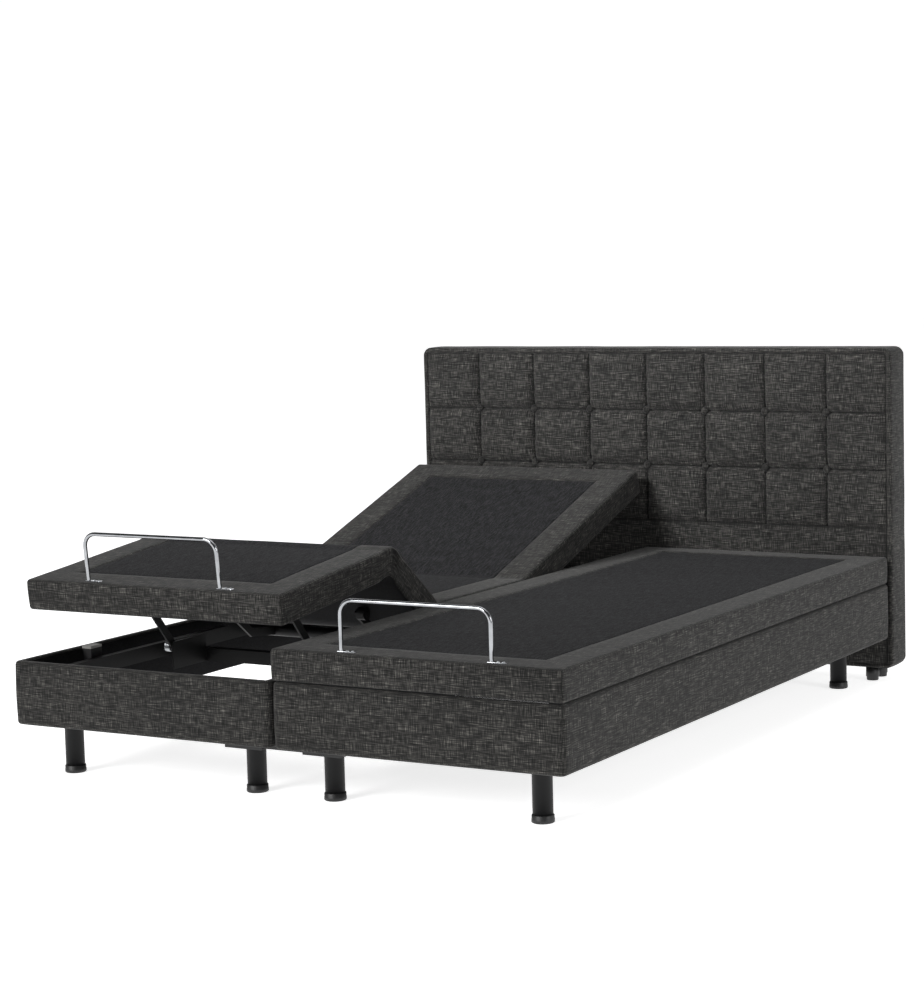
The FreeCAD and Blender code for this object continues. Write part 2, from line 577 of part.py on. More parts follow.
def calf_links(side, centre):
    """Two radius bars from the chassis to the calf section, each with a long eye for free play."""
    run = "(link_hook_offset - link_pivot_offset)"
    climb = "(link_hook_rise - link_pivot_rise)"
    reach = f"sqrt(pow({run}; 2) + pow({climb}; 2))"
    rise = f"atan({climb} / {run}) / (1 deg)"
    items = []
    for place, sign in (("a", "-1"), ("b", "1")):
        name = f"{side}_calf_link_{place}"
        x = f"{sign} * link_spread - link_thickness / 2"
        bar = box(name + "_bar", ("link_thickness", reach, "link_height"),
                  (x, f"0 - {reach}", "0 - link_height / 2"))
        pivot_eye = rod(name + "_pivot_eye", "link_eye_radius", "link_thickness", (x, "0", "0"))
        hook_eye = rod(name + "_hook_eye", "link_eye_radius", "link_thickness", (x, f"0 - {reach}", "0"))
        pivot_bore = rod(
            name + "_pivot_bore", "link_pin_radius + running_fit", "link_thickness", (x, "0", "0"))
        hook_bore = rod(name + "_hook_bore", "link_pin_radius + link_free_play", "link_thickness",
                        (x, f"0 - {reach}", "0"))
        solid = joined(name + "_solid", [bar, pivot_eye, hook_eye])
        items.append(minus(name, solid, [pivot_bore, hook_bore]))
    turn = f"0 - ({rise} + link_share * {side}_thigh_tilt)"
    pair = together(f"{side}_calf_link_pair", items)
    hand_in(put_in_bed(pair, centre, LINK_PIVOT_INSET, LINK_PIVOT_LEVEL, turn), f"{side}_calf_links")


def lever_pin(name, toward, tilt):
    """Where the lever's pin stands at a deck angle, as inset and level."""
    angle = f"({name}_arm_share * {tilt} - {name}_lever_start)"
    inset = f"({AXIS_INSET[name]} + ({toward}) * lever_length * sin({angle}))"
    return inset, f"({CHASSIS_LEVEL} - lever_length * cos({angle}))"


def actuator(side, centre, name, tube_name, toward, out, tilt):
    """Motor and guide tube turning on the chassis lugs, and the push rod that slides in it."""
    back_y = f"({TUBE_INSET[tube_name]} + cross_tube_depth / 2)"
    pin_y, pin_z = lever_pin(name, toward, tilt)
    flat_y, flat_z = lever_pin(name, toward, "0")
    run = f"(({toward}) * ({pin_y} - {back_y}))"
    turn = f"({toward}) * atan(({pin_z} - {ACTUATOR_LEVEL}) / {run})"
    reach = f"sqrt(pow({run}; 2) + pow({pin_z} - {ACTUATOR_LEVEL}; 2))"
    flat_run = f"(({toward}) * ({flat_y} - {back_y}))"
    flat_reach = f"sqrt(pow({flat_run}; 2) + pow({flat_z} - {ACTUATOR_LEVEL}; 2))"
    x = f"({out} * actuator_spread)"
    guide = f"({flat_reach} - actuator_nose)"

    def along(start, length):
        return start if toward == "1" else f"0 - ({start}) - ({length})"
    stem = "cross_tube_depth"
    eye = rod(
        f"{side}_{name}_tail_eye", "rod_eye_radius", ROD_EYE_WIDTH, (f"{x} - {ROD_EYE_WIDTH} / 2", "0", "0"))
    neck = box(f"{side}_{name}_tail_neck", (ROD_EYE_WIDTH, stem, "rod_eye_radius"),
               (f"{x} - {ROD_EYE_WIDTH} / 2", along("0", stem), "0 - rod_eye_radius / 2"))
    motor = box(f"{side}_{name}_motor", ("motor_width", "motor_length", "motor_height"),
                (f"{x} - motor_width / 2", along(stem, "motor_length"), "0 - motor_height / 2"))
    barrel = rod(f"{side}_{name}_barrel", "actuator_radius", f"{guide} - {stem}",
                 (x, along(stem, f"{guide} - {stem}"), "0"), "Y")
    solid = joined(f"{side}_{name}_actuator_solid", [eye, neck, motor, barrel])
    pin_bore = rod(f"{side}_{name}_tail_bore", "lever_pin_radius + running_fit", ROD_EYE_WIDTH,
                   (f"{x} - {ROD_EYE_WIDTH} / 2", "0", "0"))
    inside = f"({stem} + motor_length / 2)"
    rod_bore = rod(f"{side}_{name}_guide_bore", "rod_radius + running_fit", f"{guide} - {inside}",
                   (x, along(inside, f"{guide} - {inside}"), "0"), "Y")
    housing = minus(f"{side}_{name}_actuator_bored", solid, [pin_bore, rod_bore])
    place = (centre, back_y, ACTUATOR_LEVEL, turn)
    hand_in(put_in_bed(housing, *place), f"{side}_{name}_actuator")

    play = f"{name}_rod_play"
    tip = along(reach, "0")
    rod_eye = rod(f"{side}_{name}_rod_eye", "rod_eye_radius", ROD_EYE_WIDTH,
                  (f"{x} - {ROD_EYE_WIDTH} / 2", tip, "0"))
    shaft_length = f"({flat_reach} - {inside} - side_clearance)"
    shaft = rod(f"{side}_{name}_shaft", "rod_radius", shaft_length,
                (x, along(f"{reach} - {shaft_length}", shaft_length), "0"), "Y")
    eye_bore = rod(f"{side}_{name}_rod_eye_bore", f"lever_pin_radius + {play}", "2 * rod_eye_radius",
                   (f"{x} - rod_eye_radius", tip, "0"))
    rod_solid = joined(f"{side}_{name}_rod_solid", [rod_eye, shaft])
    push_rod = minus(f"{side}_{name}_rod_bored", rod_solid, [eye_bore])
    hand_in(put_in_bed(push_rod, *place), f"{side}_{name}_actuator_rod")


def control_boxes():
    """One drive controller under the rear cross tube of each unit."""
    items = []
    for side, _, centre in unit_sides():
        items.append(box(
            f"{side}_control_box", ("control_width", "control_depth", "control_height"),
            (f"{centre} + control_inset",
             f"{TUBE_INSET['rear']} + cross_tube_depth / 2 - control_depth / 2",
             f"{CROSS_TUBE_LEVEL} - control_height")))
    hand_in(put_in_bed(together("control_box_set", items), "0", "0", "0"), "control_boxes")


# ---------------------------------------------------------------- headboard
def rounded_board(name, depth, y, z_low, z_high):
    """Upright board across the bed with its corners rounded in the XZ plane."""
    low = box(name + "_wide", ("headboard_width", depth, f"{z_high} - {z_low} - 2 * headboard_corner"),
              ("0 - headboard_width / 2", y, f"{z_low} + headboard_corner"))
    tall = box(name + "_tall", ("headboard_width - 2 * headboard_corner", depth, f"{z_high} - {z_low}"),
               ("headboard_corner - headboard_width / 2", y, z_low))
    items = [low, tall]
    for x_place, sign in (("a", "-1"), ("b", "1")):
        for z_place, z in (("low", f"{z_low} + headboard_corner"), ("high", f"{z_high} - headboard_corner")):
            items.append(rod(
                f"{name}_corner_{x_place}_{z_place}", "headboard_corner", depth,
                (f"{sign} * (headboard_width / 2 - headboard_corner)", y, z), "Y"))
    return joined(name + "_solid", items)


def button_places():
    for row, level in (("low", "button_row_low"), ("high", "button_row_high")):
        for column in range(-3, 4):
            yield f"{row}_{column + 3}", f"({column} * button_pitch)", level


def headboard():
    limits = ("headboard_bottom", "headboard_top")
    foam = rounded_board("headboard_foam_block", "headboard_foam", "0", *limits)
    seats = []
    buttons = []
    for name, x, level in button_places():
        seats.append(rod(
            f"button_seat_{name}", "button_seat_radius", "button_seat_depth", (x, "0", level), "Y"))
        buttons.append(rod(f"button_{name}", "button_radius", "button_thickness",
                           (x, "button_seat_depth - button_thickness", level), "Y"))
    pad = minus("headboard_foam_seated", foam, seats)
    hand_in(put_in_bed(pad, "0", HEADBOARD_FRONT, "0"), "headboard_pad")
    hand_in(put_in_bed(together("button_set", buttons), "0", HEADBOARD_FRONT, "0"), "headboard_buttons")

    members = []
    for name, start in (("front", "headboard_foam"), ("back", "headboard_depth - headboard_skin")):
        members.append(rounded_board(f"headboard_{name}_skin", "headboard_skin", start, *limits))
    depth = "(headboard_depth - headboard_foam - 2 * headboard_skin)"
    inside = "headboard_foam + headboard_skin"
    for name, level in (("low", "headboard_bottom"), ("top", "headboard_top - headboard_frame")):
        members.append(box(
            f"headboard_{name}_rail", ("headboard_width - 2 * headboard_corner", depth, "headboard_frame"),
            ("headboard_corner - headboard_width / 2", inside, level)))
    for index in range(4):
        members.append(box(
            f"headboard_upright_{index}",
            ("headboard_frame", depth, "headboard_top - headboard_bottom - 2 * headboard_frame"),
            (f"(headboard_width - headboard_frame) / 3 * {index} - headboard_width / 2",
             inside, "headboard_bottom + headboard_frame")))
    frame = together("headboard_timber", members)
    hand_in(put_in_bed(frame, "0", HEADBOARD_FRONT, "0"), "headboard_frame")

    feet = []
    for place, sign in (("a", "-1"), ("b", "1")):
        rear_inset = "headboard_depth - headboard_foot_inset"
        for row, inset in (("front", "headboard_foot_inset"), ("rear", rear_inset)):
            feet.append(rod(f"headboard_foot_{place}_{row}", "headboard_foot_radius", "headboard_bottom",
                            (f"{sign} * headboard_foot_spread", inset, "0"), "Z"))
    hand_in(put_in_bed(together("headboard_foot_set", feet), "0", HEADBOARD_FRONT, "0"), "headboard_feet")

    brackets = []
    for side, _, centre in unit_sides():
        for place, sign in (("a", "-1"), ("b", "1")):
            brackets.append(box(
                f"{side}_headboard_bracket_{place}", ("bracket_width", "bracket_thickness", "bracket_height"),
                (f"{centre} + {sign} * bracket_spread - bracket_width / 2", "0",
                 "leg_height + (rail_height - bracket_height) / 2")))
    bracket_set = together("headboard_bracket_set", brackets)
    hand_in(put_in_bed(bracket_set, "0", "unit_length", "0"), "headboard_brackets")


# ---------------------------------------------------------------- the whole bed
support_blocks()
legs()
unit_connector()
seat_hinges()
control_boxes()
headboard()
for side, _, centre in unit_sides():
    side_rails(side, centre)
    end_rails(side, centre)
    chassis(side, centre)
    deck(side, centre)
    back_turn = f"back_arm_share * {side}_back_tilt"
    leg_turn = f"0 - leg_arm_share * {side}_thigh_tilt"
    lift_arm(side, centre, "leg", "-1", "-1", leg_turn)
    lift_arm(side, centre, "back", "1", "1", back_turn)
    calf_links(side, centre)
    actuator(side, centre, "leg", "rear", "-1", "-1", f"{side}_thigh_tilt")
    actuator(side, centre, "back", "front", "1", "1", f"{side}_back_tilt")

doc.recompute()

for item in doc.Objects:
    if "Invalid" in item.State or "Error" in item.State:
        raise RuntimeError(f"{item.Name} did not rebuild: {item.State} {item.getStatusString()}")
for item in parts:
    if item.Shape.isNull() or not item.Shape.isValid():
        raise RuntimeError(f"{item.Label} has no valid shape")

os.makedirs("parts", exist_ok=True)
for item in parts:
    item.Shape.exportStep(f"parts/{item.Label}.step")
print(len(parts), "nodes written")
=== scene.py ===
import json
import math

import bpy
import numpy as np
from mathutils import Matrix, Vector, noise


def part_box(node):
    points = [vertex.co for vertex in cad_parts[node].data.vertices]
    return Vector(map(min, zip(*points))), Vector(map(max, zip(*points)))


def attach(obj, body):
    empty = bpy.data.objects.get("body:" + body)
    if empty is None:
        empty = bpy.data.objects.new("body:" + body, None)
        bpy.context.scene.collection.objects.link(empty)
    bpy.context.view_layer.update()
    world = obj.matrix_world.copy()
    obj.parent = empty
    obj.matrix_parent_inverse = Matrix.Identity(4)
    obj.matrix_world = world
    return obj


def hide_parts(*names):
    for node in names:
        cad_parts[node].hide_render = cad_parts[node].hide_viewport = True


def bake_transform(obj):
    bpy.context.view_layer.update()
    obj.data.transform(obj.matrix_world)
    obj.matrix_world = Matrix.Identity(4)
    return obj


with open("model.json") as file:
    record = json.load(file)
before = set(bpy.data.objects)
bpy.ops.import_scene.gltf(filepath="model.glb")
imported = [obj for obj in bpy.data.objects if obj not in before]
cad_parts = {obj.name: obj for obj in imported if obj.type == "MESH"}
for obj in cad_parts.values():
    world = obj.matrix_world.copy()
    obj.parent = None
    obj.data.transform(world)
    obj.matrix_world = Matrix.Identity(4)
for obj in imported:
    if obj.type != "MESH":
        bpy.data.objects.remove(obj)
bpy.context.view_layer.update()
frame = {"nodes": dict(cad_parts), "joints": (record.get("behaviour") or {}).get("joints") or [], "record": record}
joints = {j["name"]: j for j in frame["joints"]}
couplings = {c["joint"]: c for c in frame["record"]["behaviour"]["couplings"]}
mm = 0.001
print("frame loaded:", len(frame["nodes"]), "nodes")


# small tools: colours, nodes, meshes

def linearRgba(hexColour):  # sRGB hex to the linear colour a shader wants
    parts = [int(hexColour[i:i + 2], 16) / 255 for i in (1, 3, 5)]
    linear = [p / 12.92 if p <= 0.04045 else ((p + 0.055) / 1.055) ** 2.4 for p in parts]
    return (*linear, 1.0)


def addNode(tree, kind, inputs=None, **settings):  # one node with its settings, values and links
    node = tree.nodes.new(kind)
    for name, value in settings.items():
        setattr(node, name, value)
    for key, value in (inputs or {}).items():
        if isinstance(value, bpy.types.NodeSocket):
            tree.links.new(value, node.inputs[key])
        else:
            node.inputs[key].default_value = value
    return node


def newMaterial(name, shaderValues):  # principled shader with plain values on its own sockets
    material = bpy.data.materials.new(name)
    material.use_nodes = True
    tree = material.node_tree
    shader = tree.nodes["Principled BSDF"]
    for key, value in shaderValues.items():
        shader.inputs[key].default_value = value
    return material, tree, shader


def calculate(tree, operation, a, b=0.0):
    return addNode(tree, "ShaderNodeMath", {0: a, 1: b}, operation=operation).outputs[0]


def rampColour(tree, factor, stops):
    ramp = addNode(tree, "ShaderNodeValToRGB", {"Fac": factor})
    points = ramp.color_ramp.elements
    while len(points) < len(stops):
        points.new(0.5)
    for point, (position, colour) in zip(points, stops):
        point.position = position
        point.color = linearRgba(colour)
    return ramp.outputs["Color"]


def stretchedNoise(tree, vector, sizes, offset=0.0, detail=2.0, roughness=0.5):
    scales = [1 / size for size in sizes]  # sizes are the grain's lengths along x, y, z in metres
    mapping = addNode(tree, "ShaderNodeMapping",
                      {"Vector": vector, "Scale": scales, "Location": (offset, offset * 0.7, offset * 1.3)})
    grain = {"Vector": mapping.outputs["Vector"], "Scale": 1.0, "Detail": detail, "Roughness": roughness}
    return addNode(tree, "ShaderNodeTexNoise", grain).outputs["Fac"]


def addUp(tree, grains):  # weighted sum of several grains
    total = None
    for grain, weight in grains:
        share = calculate(tree, "MULTIPLY", grain, weight)
        total = share if total is None else calculate(tree, "ADD", total, share)
    return total


def addBump(tree, shader, height, distance, strength=1.0):
    bump = addNode(tree, "ShaderNodeBump", {"Height": height, "Distance": distance, "Strength": strength})
    tree.links.new(bump.outputs["Normal"], shader.inputs["Normal"])


def meshObject(name, points, faces, materials, faceMaterial=None, smooth=True):
    mesh = bpy.data.meshes.new(name)
    mesh.from_pydata([tuple(p) for p in points], [], faces)
    for material in materials:
        mesh.materials.append(material)
    if faceMaterial is not None:
        mesh.polygons.foreach_set("material_index", faceMaterial)
    mesh.polygons.foreach_set("use_smooth", [smooth] * len(mesh.polygons))
    mesh.update()
    made = bpy.data.objects.new(name, mesh)
    bpy.context.scene.collection.objects.link(made)
    return made


def layWeave(made, flatPoints=None):
    # cloth place of every face corner in metres, square to the face, so threads follow the panel's edges
    mesh = made.data
    if flatPoints is None:
        flatPoints = np.empty(len(mesh.vertices) * 3)
        mesh.vertices.foreach_get("co", flatPoints)
        flatPoints = flatPoints.reshape(-1, 3)
    corners = np.empty(len(mesh.loops), dtype=int)
    mesh.loops.foreach_get("vertex_index", corners)
    cloth = np.zeros((len(corners), 3))
    for face in mesh.polygons:
        loops = range(face.loop_start, face.loop_start + face.loop_total)
        ring = flatPoints[corners[list(loops)]]
        half = len(ring) // 2
        normal = np.abs(np.cross(ring[half] - ring[0], ring[(half + 1) % len(ring)] - ring[1]))
        across = int(np.argmax(normal))
        u, v = ((1, 2), (0, 2), (0, 1))[across]
        cloth[face.loop_start:face.loop_start + face.loop_total, 0] = ring[:, u] + 0.37 * across
        cloth[face.loop_start:face.loop_start + face.loop_total, 1] = ring[:, v] + 0.21 * across
    attribute = mesh.attributes.new("weaveAt", "FLOAT_VECTOR", "CORNER")
    attribute.data.foreach_set("vector", cloth.ravel())
    return made


def paintShadeOn(made, amounts):  # 0 to 1 for each point: how much painted shade it gets where it lies in a stitched seam, a crease or round a button
    attribute = made.data.attributes.new("paintedShade", "FLOAT", "POINT")
    attribute.data.foreach_set("value", np.clip(amounts, 0, 1))


def joinMeshes(name, objects):
    bpy.ops.object.select_all(action="DESELECT")
    for each in objects:
        each.select_set(True)
    bpy.context.view_layer.objects.active = objects[0]
    bpy.ops.object.join()
    objects[0].name = name
    objects[0].data.name = name
    return objects[0]


def finishPiece(made, body, replaced=()):
    if body:
        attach(made, body)
    if replaced:
        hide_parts(*replaced)
    return made


# materials, each from what the real one is

def mixPaintedShade(tree, colour):  # the dark thread line and a painted shadow down a stitched seam, and painted shade in creases and round buttons
    shade = addNode(tree, "ShaderNodeAttribute", attribute_name="paintedShade").outputs["Fac"]
    return addNode(tree, "ShaderNodeMix", {
        "Factor": calculate(tree, "MULTIPLY", shade, 0.85), 6: colour, 7: linearRgba("#0c0c0c")},
        data_type="RGBA").outputs[2]


def slubWeave():
    # linen-look polyester, plain woven from uneven charcoal and taupe yarns: matt, flecked both ways
    cloth = {  # sizes in mm; a real yarn is 0.8, coarsened here
        "yarn": 1.8, "slub": 30, "weftSlub": 34, "shade": 160, "relief": 0.5,
        "warpWeight": 0.46, "weftWeight": 0.5, "shadeWeight": 0.05, "fleckWeight": 0.06,
    }
    material, tree, shader = newMaterial("slubWeavePolyester", {
        "Roughness": 0.93, "Sheen Weight": 0.08, "Sheen Roughness": 0.5, "Specular IOR Level": 0.25})
    place = addNode(tree, "ShaderNodeAttribute", attribute_name="weaveAt").outputs["Vector"]
    yarn, shadeSize = cloth["yarn"] * mm, cloth["shade"] * mm
    warp = stretchedNoise(tree, place, (yarn, cloth["slub"] * mm, 1), 3.1, 1.0, 0.6)
    weft = stretchedNoise(tree, place, (cloth["weftSlub"] * mm, yarn, 1), 11.7, 1.0, 0.6)
    shade = stretchedNoise(tree, place, (shadeSize, shadeSize, 1), 5.0, 3.0)
    fleck = stretchedNoise(tree, place, (yarn, yarn, 1), 8.2, 1.0)
    mixed = addUp(tree, ((warp, cloth["warpWeight"]), (weft, cloth["weftWeight"]),
                         (shade, cloth["shadeWeight"]), (fleck, cloth["fleckWeight"])))
    colour = rampColour(tree, mixed, (
        (0.38, "#060606"), (0.48, "#161615"), (0.56, "#282726"), (0.64, "#43423f"), (0.75, "#74716c")))
    tree.links.new(mixPaintedShade(tree, colour), shader.inputs["Base Color"])
    addBump(tree, shader, mixed, cloth["relief"] * mm, 0.7)
    return material


def centreCloth():
    # black polyester jersey over the middle of the deck, knitted: even and matt
    cloth = {"stitch": 2.6, "streak": 40, "relief": 0.25}  # mm; the knit's real stitch is 1, coarsened
    material, tree, shader = newMaterial("blackKnitPolyester", {
        "Roughness": 0.92, "Sheen Weight": 0.02, "Sheen Roughness": 0.6, "Specular IOR Level": 0.12})
    place = addNode(tree, "ShaderNodeAttribute", attribute_name="weaveAt").outputs["Vector"]
    size = cloth["stitch"] * mm
    stitch = stretchedNoise(tree, place, (size, size, 1), 2.0, 1.0)
    streak = stretchedNoise(tree, place, (size, cloth["streak"] * mm, 1), 7.0, 2.0)
    mixed = addUp(tree, ((stitch, 0.5), (streak, 0.5)))
    colour = rampColour(tree, mixed, ((0.44, "#0a0a0b"), (0.5, "#18181a"), (0.56, "#2d2d2f")))
    tree.links.new(mixPaintedShade(tree, colour), shader.inputs["Base Color"])
    addBump(tree, shader, mixed, cloth["relief"] * mm, 0.6)
    return material


def dustLining():
    # black spunbond polypropylene lining, needle-bonded: fibrous, dull
    lining = {"fibre": 4, "relief": 0.2}  # mm
    material, tree, shader = newMaterial("blackSpunbondLining", {
        "Roughness": 0.95, "Specular IOR Level": 0.2})
    place = addNode(tree, "ShaderNodeTexCoord").outputs["Object"]
    fibre = stretchedNoise(tree, place, (lining["fibre"] * mm,) * 3, 1.0, 4.0, 0.7)
    colour = rampColour(tree, fibre, ((0.35, "#0d0d0e"), (0.7, "#1d1d1f")))
    tree.links.new(colour, shader.inputs["Base Color"])
    addBump(tree, shader, fibre, lining["relief"] * mm, 0.6)
    return material


def grained(name, grain, relief, darkest, palest, gloss, **values):
    # one build for paint, plating and mouldings: fine grain (lengths in mm) in colour, gloss and surface
    sockets = {key.replace("_", " "): value for key, value in values.items()}
    material, tree, shader = newMaterial(name, sockets)
    place = addNode(tree, "ShaderNodeTexCoord").outputs["Object"]
    texture = stretchedNoise(tree, place, tuple(size * mm for size in grain), 4.0, 3.0, 0.6)
    colour = rampColour(tree, texture, ((0.3, darkest), (0.7, palest)))
    tree.links.new(colour, shader.inputs["Base Color"])
    low, high = gloss
    rough = addNode(tree, "ShaderNodeMapRange", {"Value": texture, "To Min": low, "To Max": high})
    tree.links.new(rough.outputs["Result"], shader.inputs["Roughness"])
    addBump(tree, shader, texture, relief * mm, 0.5)
    return material


slubWeaveCloth = slubWeave()
centrePanelCloth = centreCloth()
liningCloth = dustLining()
powderCoatSteel = grained("blackPowderCoatSteel", (2.5, 2.5, 2.5), 0.05, "#040405", "#09090a", (0.42, 0.56),
                          IOR=1.4, Specular_IOR_Level=0.35)
chromeSteel = grained("chromePlatedSteel", (30, 30, 30), 0.01, "#95979a", "#a9abae", (0.04, 0.08),
                      Metallic=1.0)
zincSteel = grained("zincPlatedSteel", (8, 8, 8), 0.03, "#9c9fa2", "#c2c5c8", (0.28, 0.42), Metallic=1.0)
groundRod = grained("groundSteelRod", (40, 0.8, 40), 0.01, "#b4b6b9", "#d0d2d4", (0.16, 0.28), Metallic=1.0)
mouldedAbs = grained("blackMouldedAbs", (1.5, 1.5, 1.5), 0.06, "#0a0a0b", "#111112", (0.42, 0.56), IOR=1.53)
mouldedNylon = grained("blackMouldedNylon", (6, 6, 6), 0.03, "#060607", "#0c0c0d", (0.4, 0.5),
                       IOR=1.53, Specular_IOR_Level=0.3)


def paintedPost():
    # black painted batten, brushed, with a pale felt pad glued on top for the deck to land on
    post = {"padFrom": 293, "brush": 30, "bristle": 2, "relief": 0.15}  # mm
    material, tree, shader = newMaterial("blackPaintedBatten", {"Roughness": 0.6, "IOR": 1.5})
    place = addNode(tree, "ShaderNodeTexCoord").outputs["Object"]
    bristle = post["bristle"] * mm
    brush = stretchedNoise(tree, place, (post["brush"] * mm, bristle, bristle), 3.0, 3.0)
    paint = rampColour(tree, brush, ((0.3, "#0f0f10"), (0.7, "#18181a")))
    felt = rampColour(tree, brush, ((0.3, "#82817e"), (0.7, "#9d9c98")))
    height = addNode(tree, "ShaderNodeSeparateXYZ", {"Vector": place}).outputs["Z"]
    onPad = calculate(tree, "GREATER_THAN", height, post["padFrom"] * mm)
    colour = addNode(tree, "ShaderNodeMix", {"Factor": onPad, 6: paint, 7: felt}, data_type="RGBA").outputs[2]
    tree.links.new(colour, shader.inputs["Base Color"])
    addBump(tree, shader, brush, post["relief"] * mm, 0.5)
    return material


paintedBatten = paintedPost()
print("materials made")


# where things are, all read from the frame

def jointPlace(name):
    return Vector(joints[name]["pos_m"])


def restAngle(name):  # how far a fold stands from flat in the stored pose, in radians
    return math.radians(-joints[name]["range_deg"][0])


def unitFacts(side):
    railLow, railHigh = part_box(side + "_side_rails")
    hip = jointPlace(side + "_thigh_fold")
    knee = jointPlace(side + "_knee_fold")
    back = jointPlace(side + "_back_fold")
    thigh = restAngle(side + "_thigh_fold")
    _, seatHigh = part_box(side + "_seat_pad")
    boardLow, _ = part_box(side + "_seat_board")
    return {
        "side": side, "centre": (railLow.x + railHigh.x) / 2, "half": (railHigh.x - railLow.x) / 2,
        "foot": railLow.y, "head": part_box("right_back_pad")[1].y, "railLow": railLow, "railHigh": railHigh,
        "axis": hip.z, "low": boardLow.z, "top": seatHigh.z,
        "hip": hip.y, "knee": hip.y - math.hypot(hip.y - knee.y, hip.z - knee.z), "back": back.y,
        "thighTilt": thigh, "kneeFold": couplings[side + "_knee_fold"]["ratio"] * thigh,
        "backTilt": restAngle(side + "_back_fold"),
    }


units = {side: unitFacts(side) for side in ("left", "right")}


# geometry tools

def fillLine(stops, step):  # the stops and even places between them, no further apart than step
    line = []
    for a, b in zip(stops, stops[1:]):
        count = max(1, math.ceil((b - a) / step - 1e-6))
        line += [a + (b - a) * i / count for i in range(count)]
    return line + [stops[-1]]


def edgeStops(radius):  # distances from a rounded edge that spread evenly round its arc
    return [0.0] + [radius * (1 - math.tan(math.radians(a))) for a in (30, 15)] + [radius]


def boxSkin(xs, ys, zs, openLow=False, openHigh=False):
    points, number, faces, sides = [], {}, [], []

    def at(i, j, k):
        if (i, j, k) not in number:
            number[i, j, k] = len(points)
            points.append((xs[i], ys[j], zs[k]))
        return number[i, j, k]
    lastX, lastY, lastZ = len(xs) - 1, len(ys) - 1, len(zs) - 1
    for i in range(lastX):
        for j in range(lastY):
            faces.append((at(i, j, lastZ), at(i + 1, j, lastZ), at(i + 1, j + 1, lastZ), at(i, j + 1, lastZ)))
            faces.append((at(i, j, 0), at(i, j + 1, 0), at(i + 1, j + 1, 0), at(i + 1, j, 0)))
            sides += ["top", "under"]
    for j in range(lastY):
        for k in range(lastZ):
            faces.append((at(lastX, j, k), at(lastX, j + 1, k), at(lastX, j + 1, k + 1), at(lastX, j, k + 1)))
            faces.append((at(0, j, k), at(0, j, k + 1), at(0, j + 1, k + 1), at(0, j + 1, k)))
            sides += ["side", "side"]
    for i in range(lastX):
        for k in range(lastZ):
            if not openLow:
                faces.append((at(i, 0, k), at(i + 1, 0, k), at(i + 1, 0, k + 1), at(i, 0, k + 1)))
                sides.append("end")
            if not openHigh:
                faces.append((at(i, lastY, k), at(i, lastY, k + 1),
                              at(i + 1, lastY, k + 1), at(i + 1, lastY, k)))
                sides.append("end")
    return np.array(points), faces, sides


def roundOff(points, low, high, radius):
    # pull a box's skin onto rounded edges; an open end passes its own limit far outside
    inner = np.clip(points, np.array(low) + radius, np.array(high) - radius)
    offset = points - inner
    length = np.linalg.norm(offset, axis=1)
    length[length < 1e-9] = 1
    return inner + offset * (radius / length)[:, None]


def turnAboutX(points, y, z, angle):
    c, s = np.cos(angle), np.sin(angle)
    dy, dz = points[:, 1] - y, points[:, 2] - z
    return np.stack([points[:, 0], y + dy * c - dz * s, z + dy * s + dz * c], axis=1)


def softNoise(points, size, seed=0.0):
    return np.array([noise.noise(Vector((x / size + seed, y / size - seed, z / size))) for x, y, z in points])


def getPoints(made):
    points = np.empty(len(made.data.vertices) * 3)
    made.data.vertices.foreach_get("co", points)
    return points.reshape(-1, 3)


def setPoints(made, points):
    made.data.vertices.foreach_set("co", points.ravel())
    made.data.update()


def closedRings(first, rings, count):  # faces over rings of points that start at first, both ends shut
    faces = []
    for ring in range(rings - 1):
        start = first + ring * count
        for i in range(count):
            a, b = start + i, start + (i + 1) % count
            faces.append((a, b, b + count, a + count))
    last = first + (rings - 1) * count
    return faces + [tuple(reversed(range(first, first + count))), tuple(range(last, last + count))]


# deck covers: sewn sleeves over the jointed sections, in three lengths that bend at the folds

deckCover = {
    "edgeRadius": 9 * mm, "border": 100 * mm, "footBorder": 105 * mm, "headBorder": 95 * mm,
    "seamWidth": 3.2 * mm, "seamDepth": 2.6 * mm, "seamShadow": 1.2 * mm, "panelDrop": 1.6 * mm,
    "bulge": 1.4 * mm, "ripple": 1.0 * mm, "kneeLength": 114 * mm, "foldLength": 76 * mm,
    "step": 22 * mm, "foldStep": 6 * mm, "sideStep": 12 * mm, "kneeSideStep": 3.5 * mm,
    "padding": 0.9,
}
kneeCrease = {  # distances from the knee toward the hip, depths below the deck's top
    "levels": (15 * mm, 27 * mm), "drop": 0.16, "depth": 5.5 * mm, "width": 4.2 * mm, "wrap": 14 * mm,
    "from": -14 * mm, "rise": 16 * mm, "to": 62 * mm, "fall": 34 * mm,
    "topLines": (12 * mm, 30 * mm, 47 * mm), "topDepth": 1.6 * mm, "topWidth": 5 * mm,
    "topSlant": 0.12, "topReach": 50 * mm,
}


def poseLeg(unit, points, weight):  # weight 0 follows the calf, 1 the thigh
    bent = turnAboutX(points, unit["knee"], unit["axis"], unit["kneeFold"] * (1 - weight))
    return turnAboutX(bent, unit["hip"], unit["axis"], -unit["thighTilt"])


def poseHip(unit, points, weight):  # 0 follows the thigh, 1 the fixed seat
    return turnAboutX(points, unit["hip"], unit["axis"], -unit["thighTilt"] * (1 - weight))


def poseBack(unit, points, weight):  # 0 follows the fixed seat, 1 the back
    return turnAboutX(points, unit["back"], unit["axis"], unit["backTilt"] * weight)


def settleBend(unit, flat, pose, fold, half):
    # finds the rest shape whose own blend weights bring it back to the flat sleeve
    ends = np.array([(unit["centre"], fold + reach, unit["axis"]) for reach in (-half, half)])
    start, end = pose(unit, ends, np.array([0.0, 1.0]))
    chord = end - start
    share = np.clip((flat[:, 1] - fold + half) / (2 * half), 0, 1)
    for _ in range(80):
        posed = pose(unit, flat, share * share * (3 - 2 * share))
        share = np.clip((posed - start) @ chord / (chord @ chord), 0, 1)
    return posed, start, end


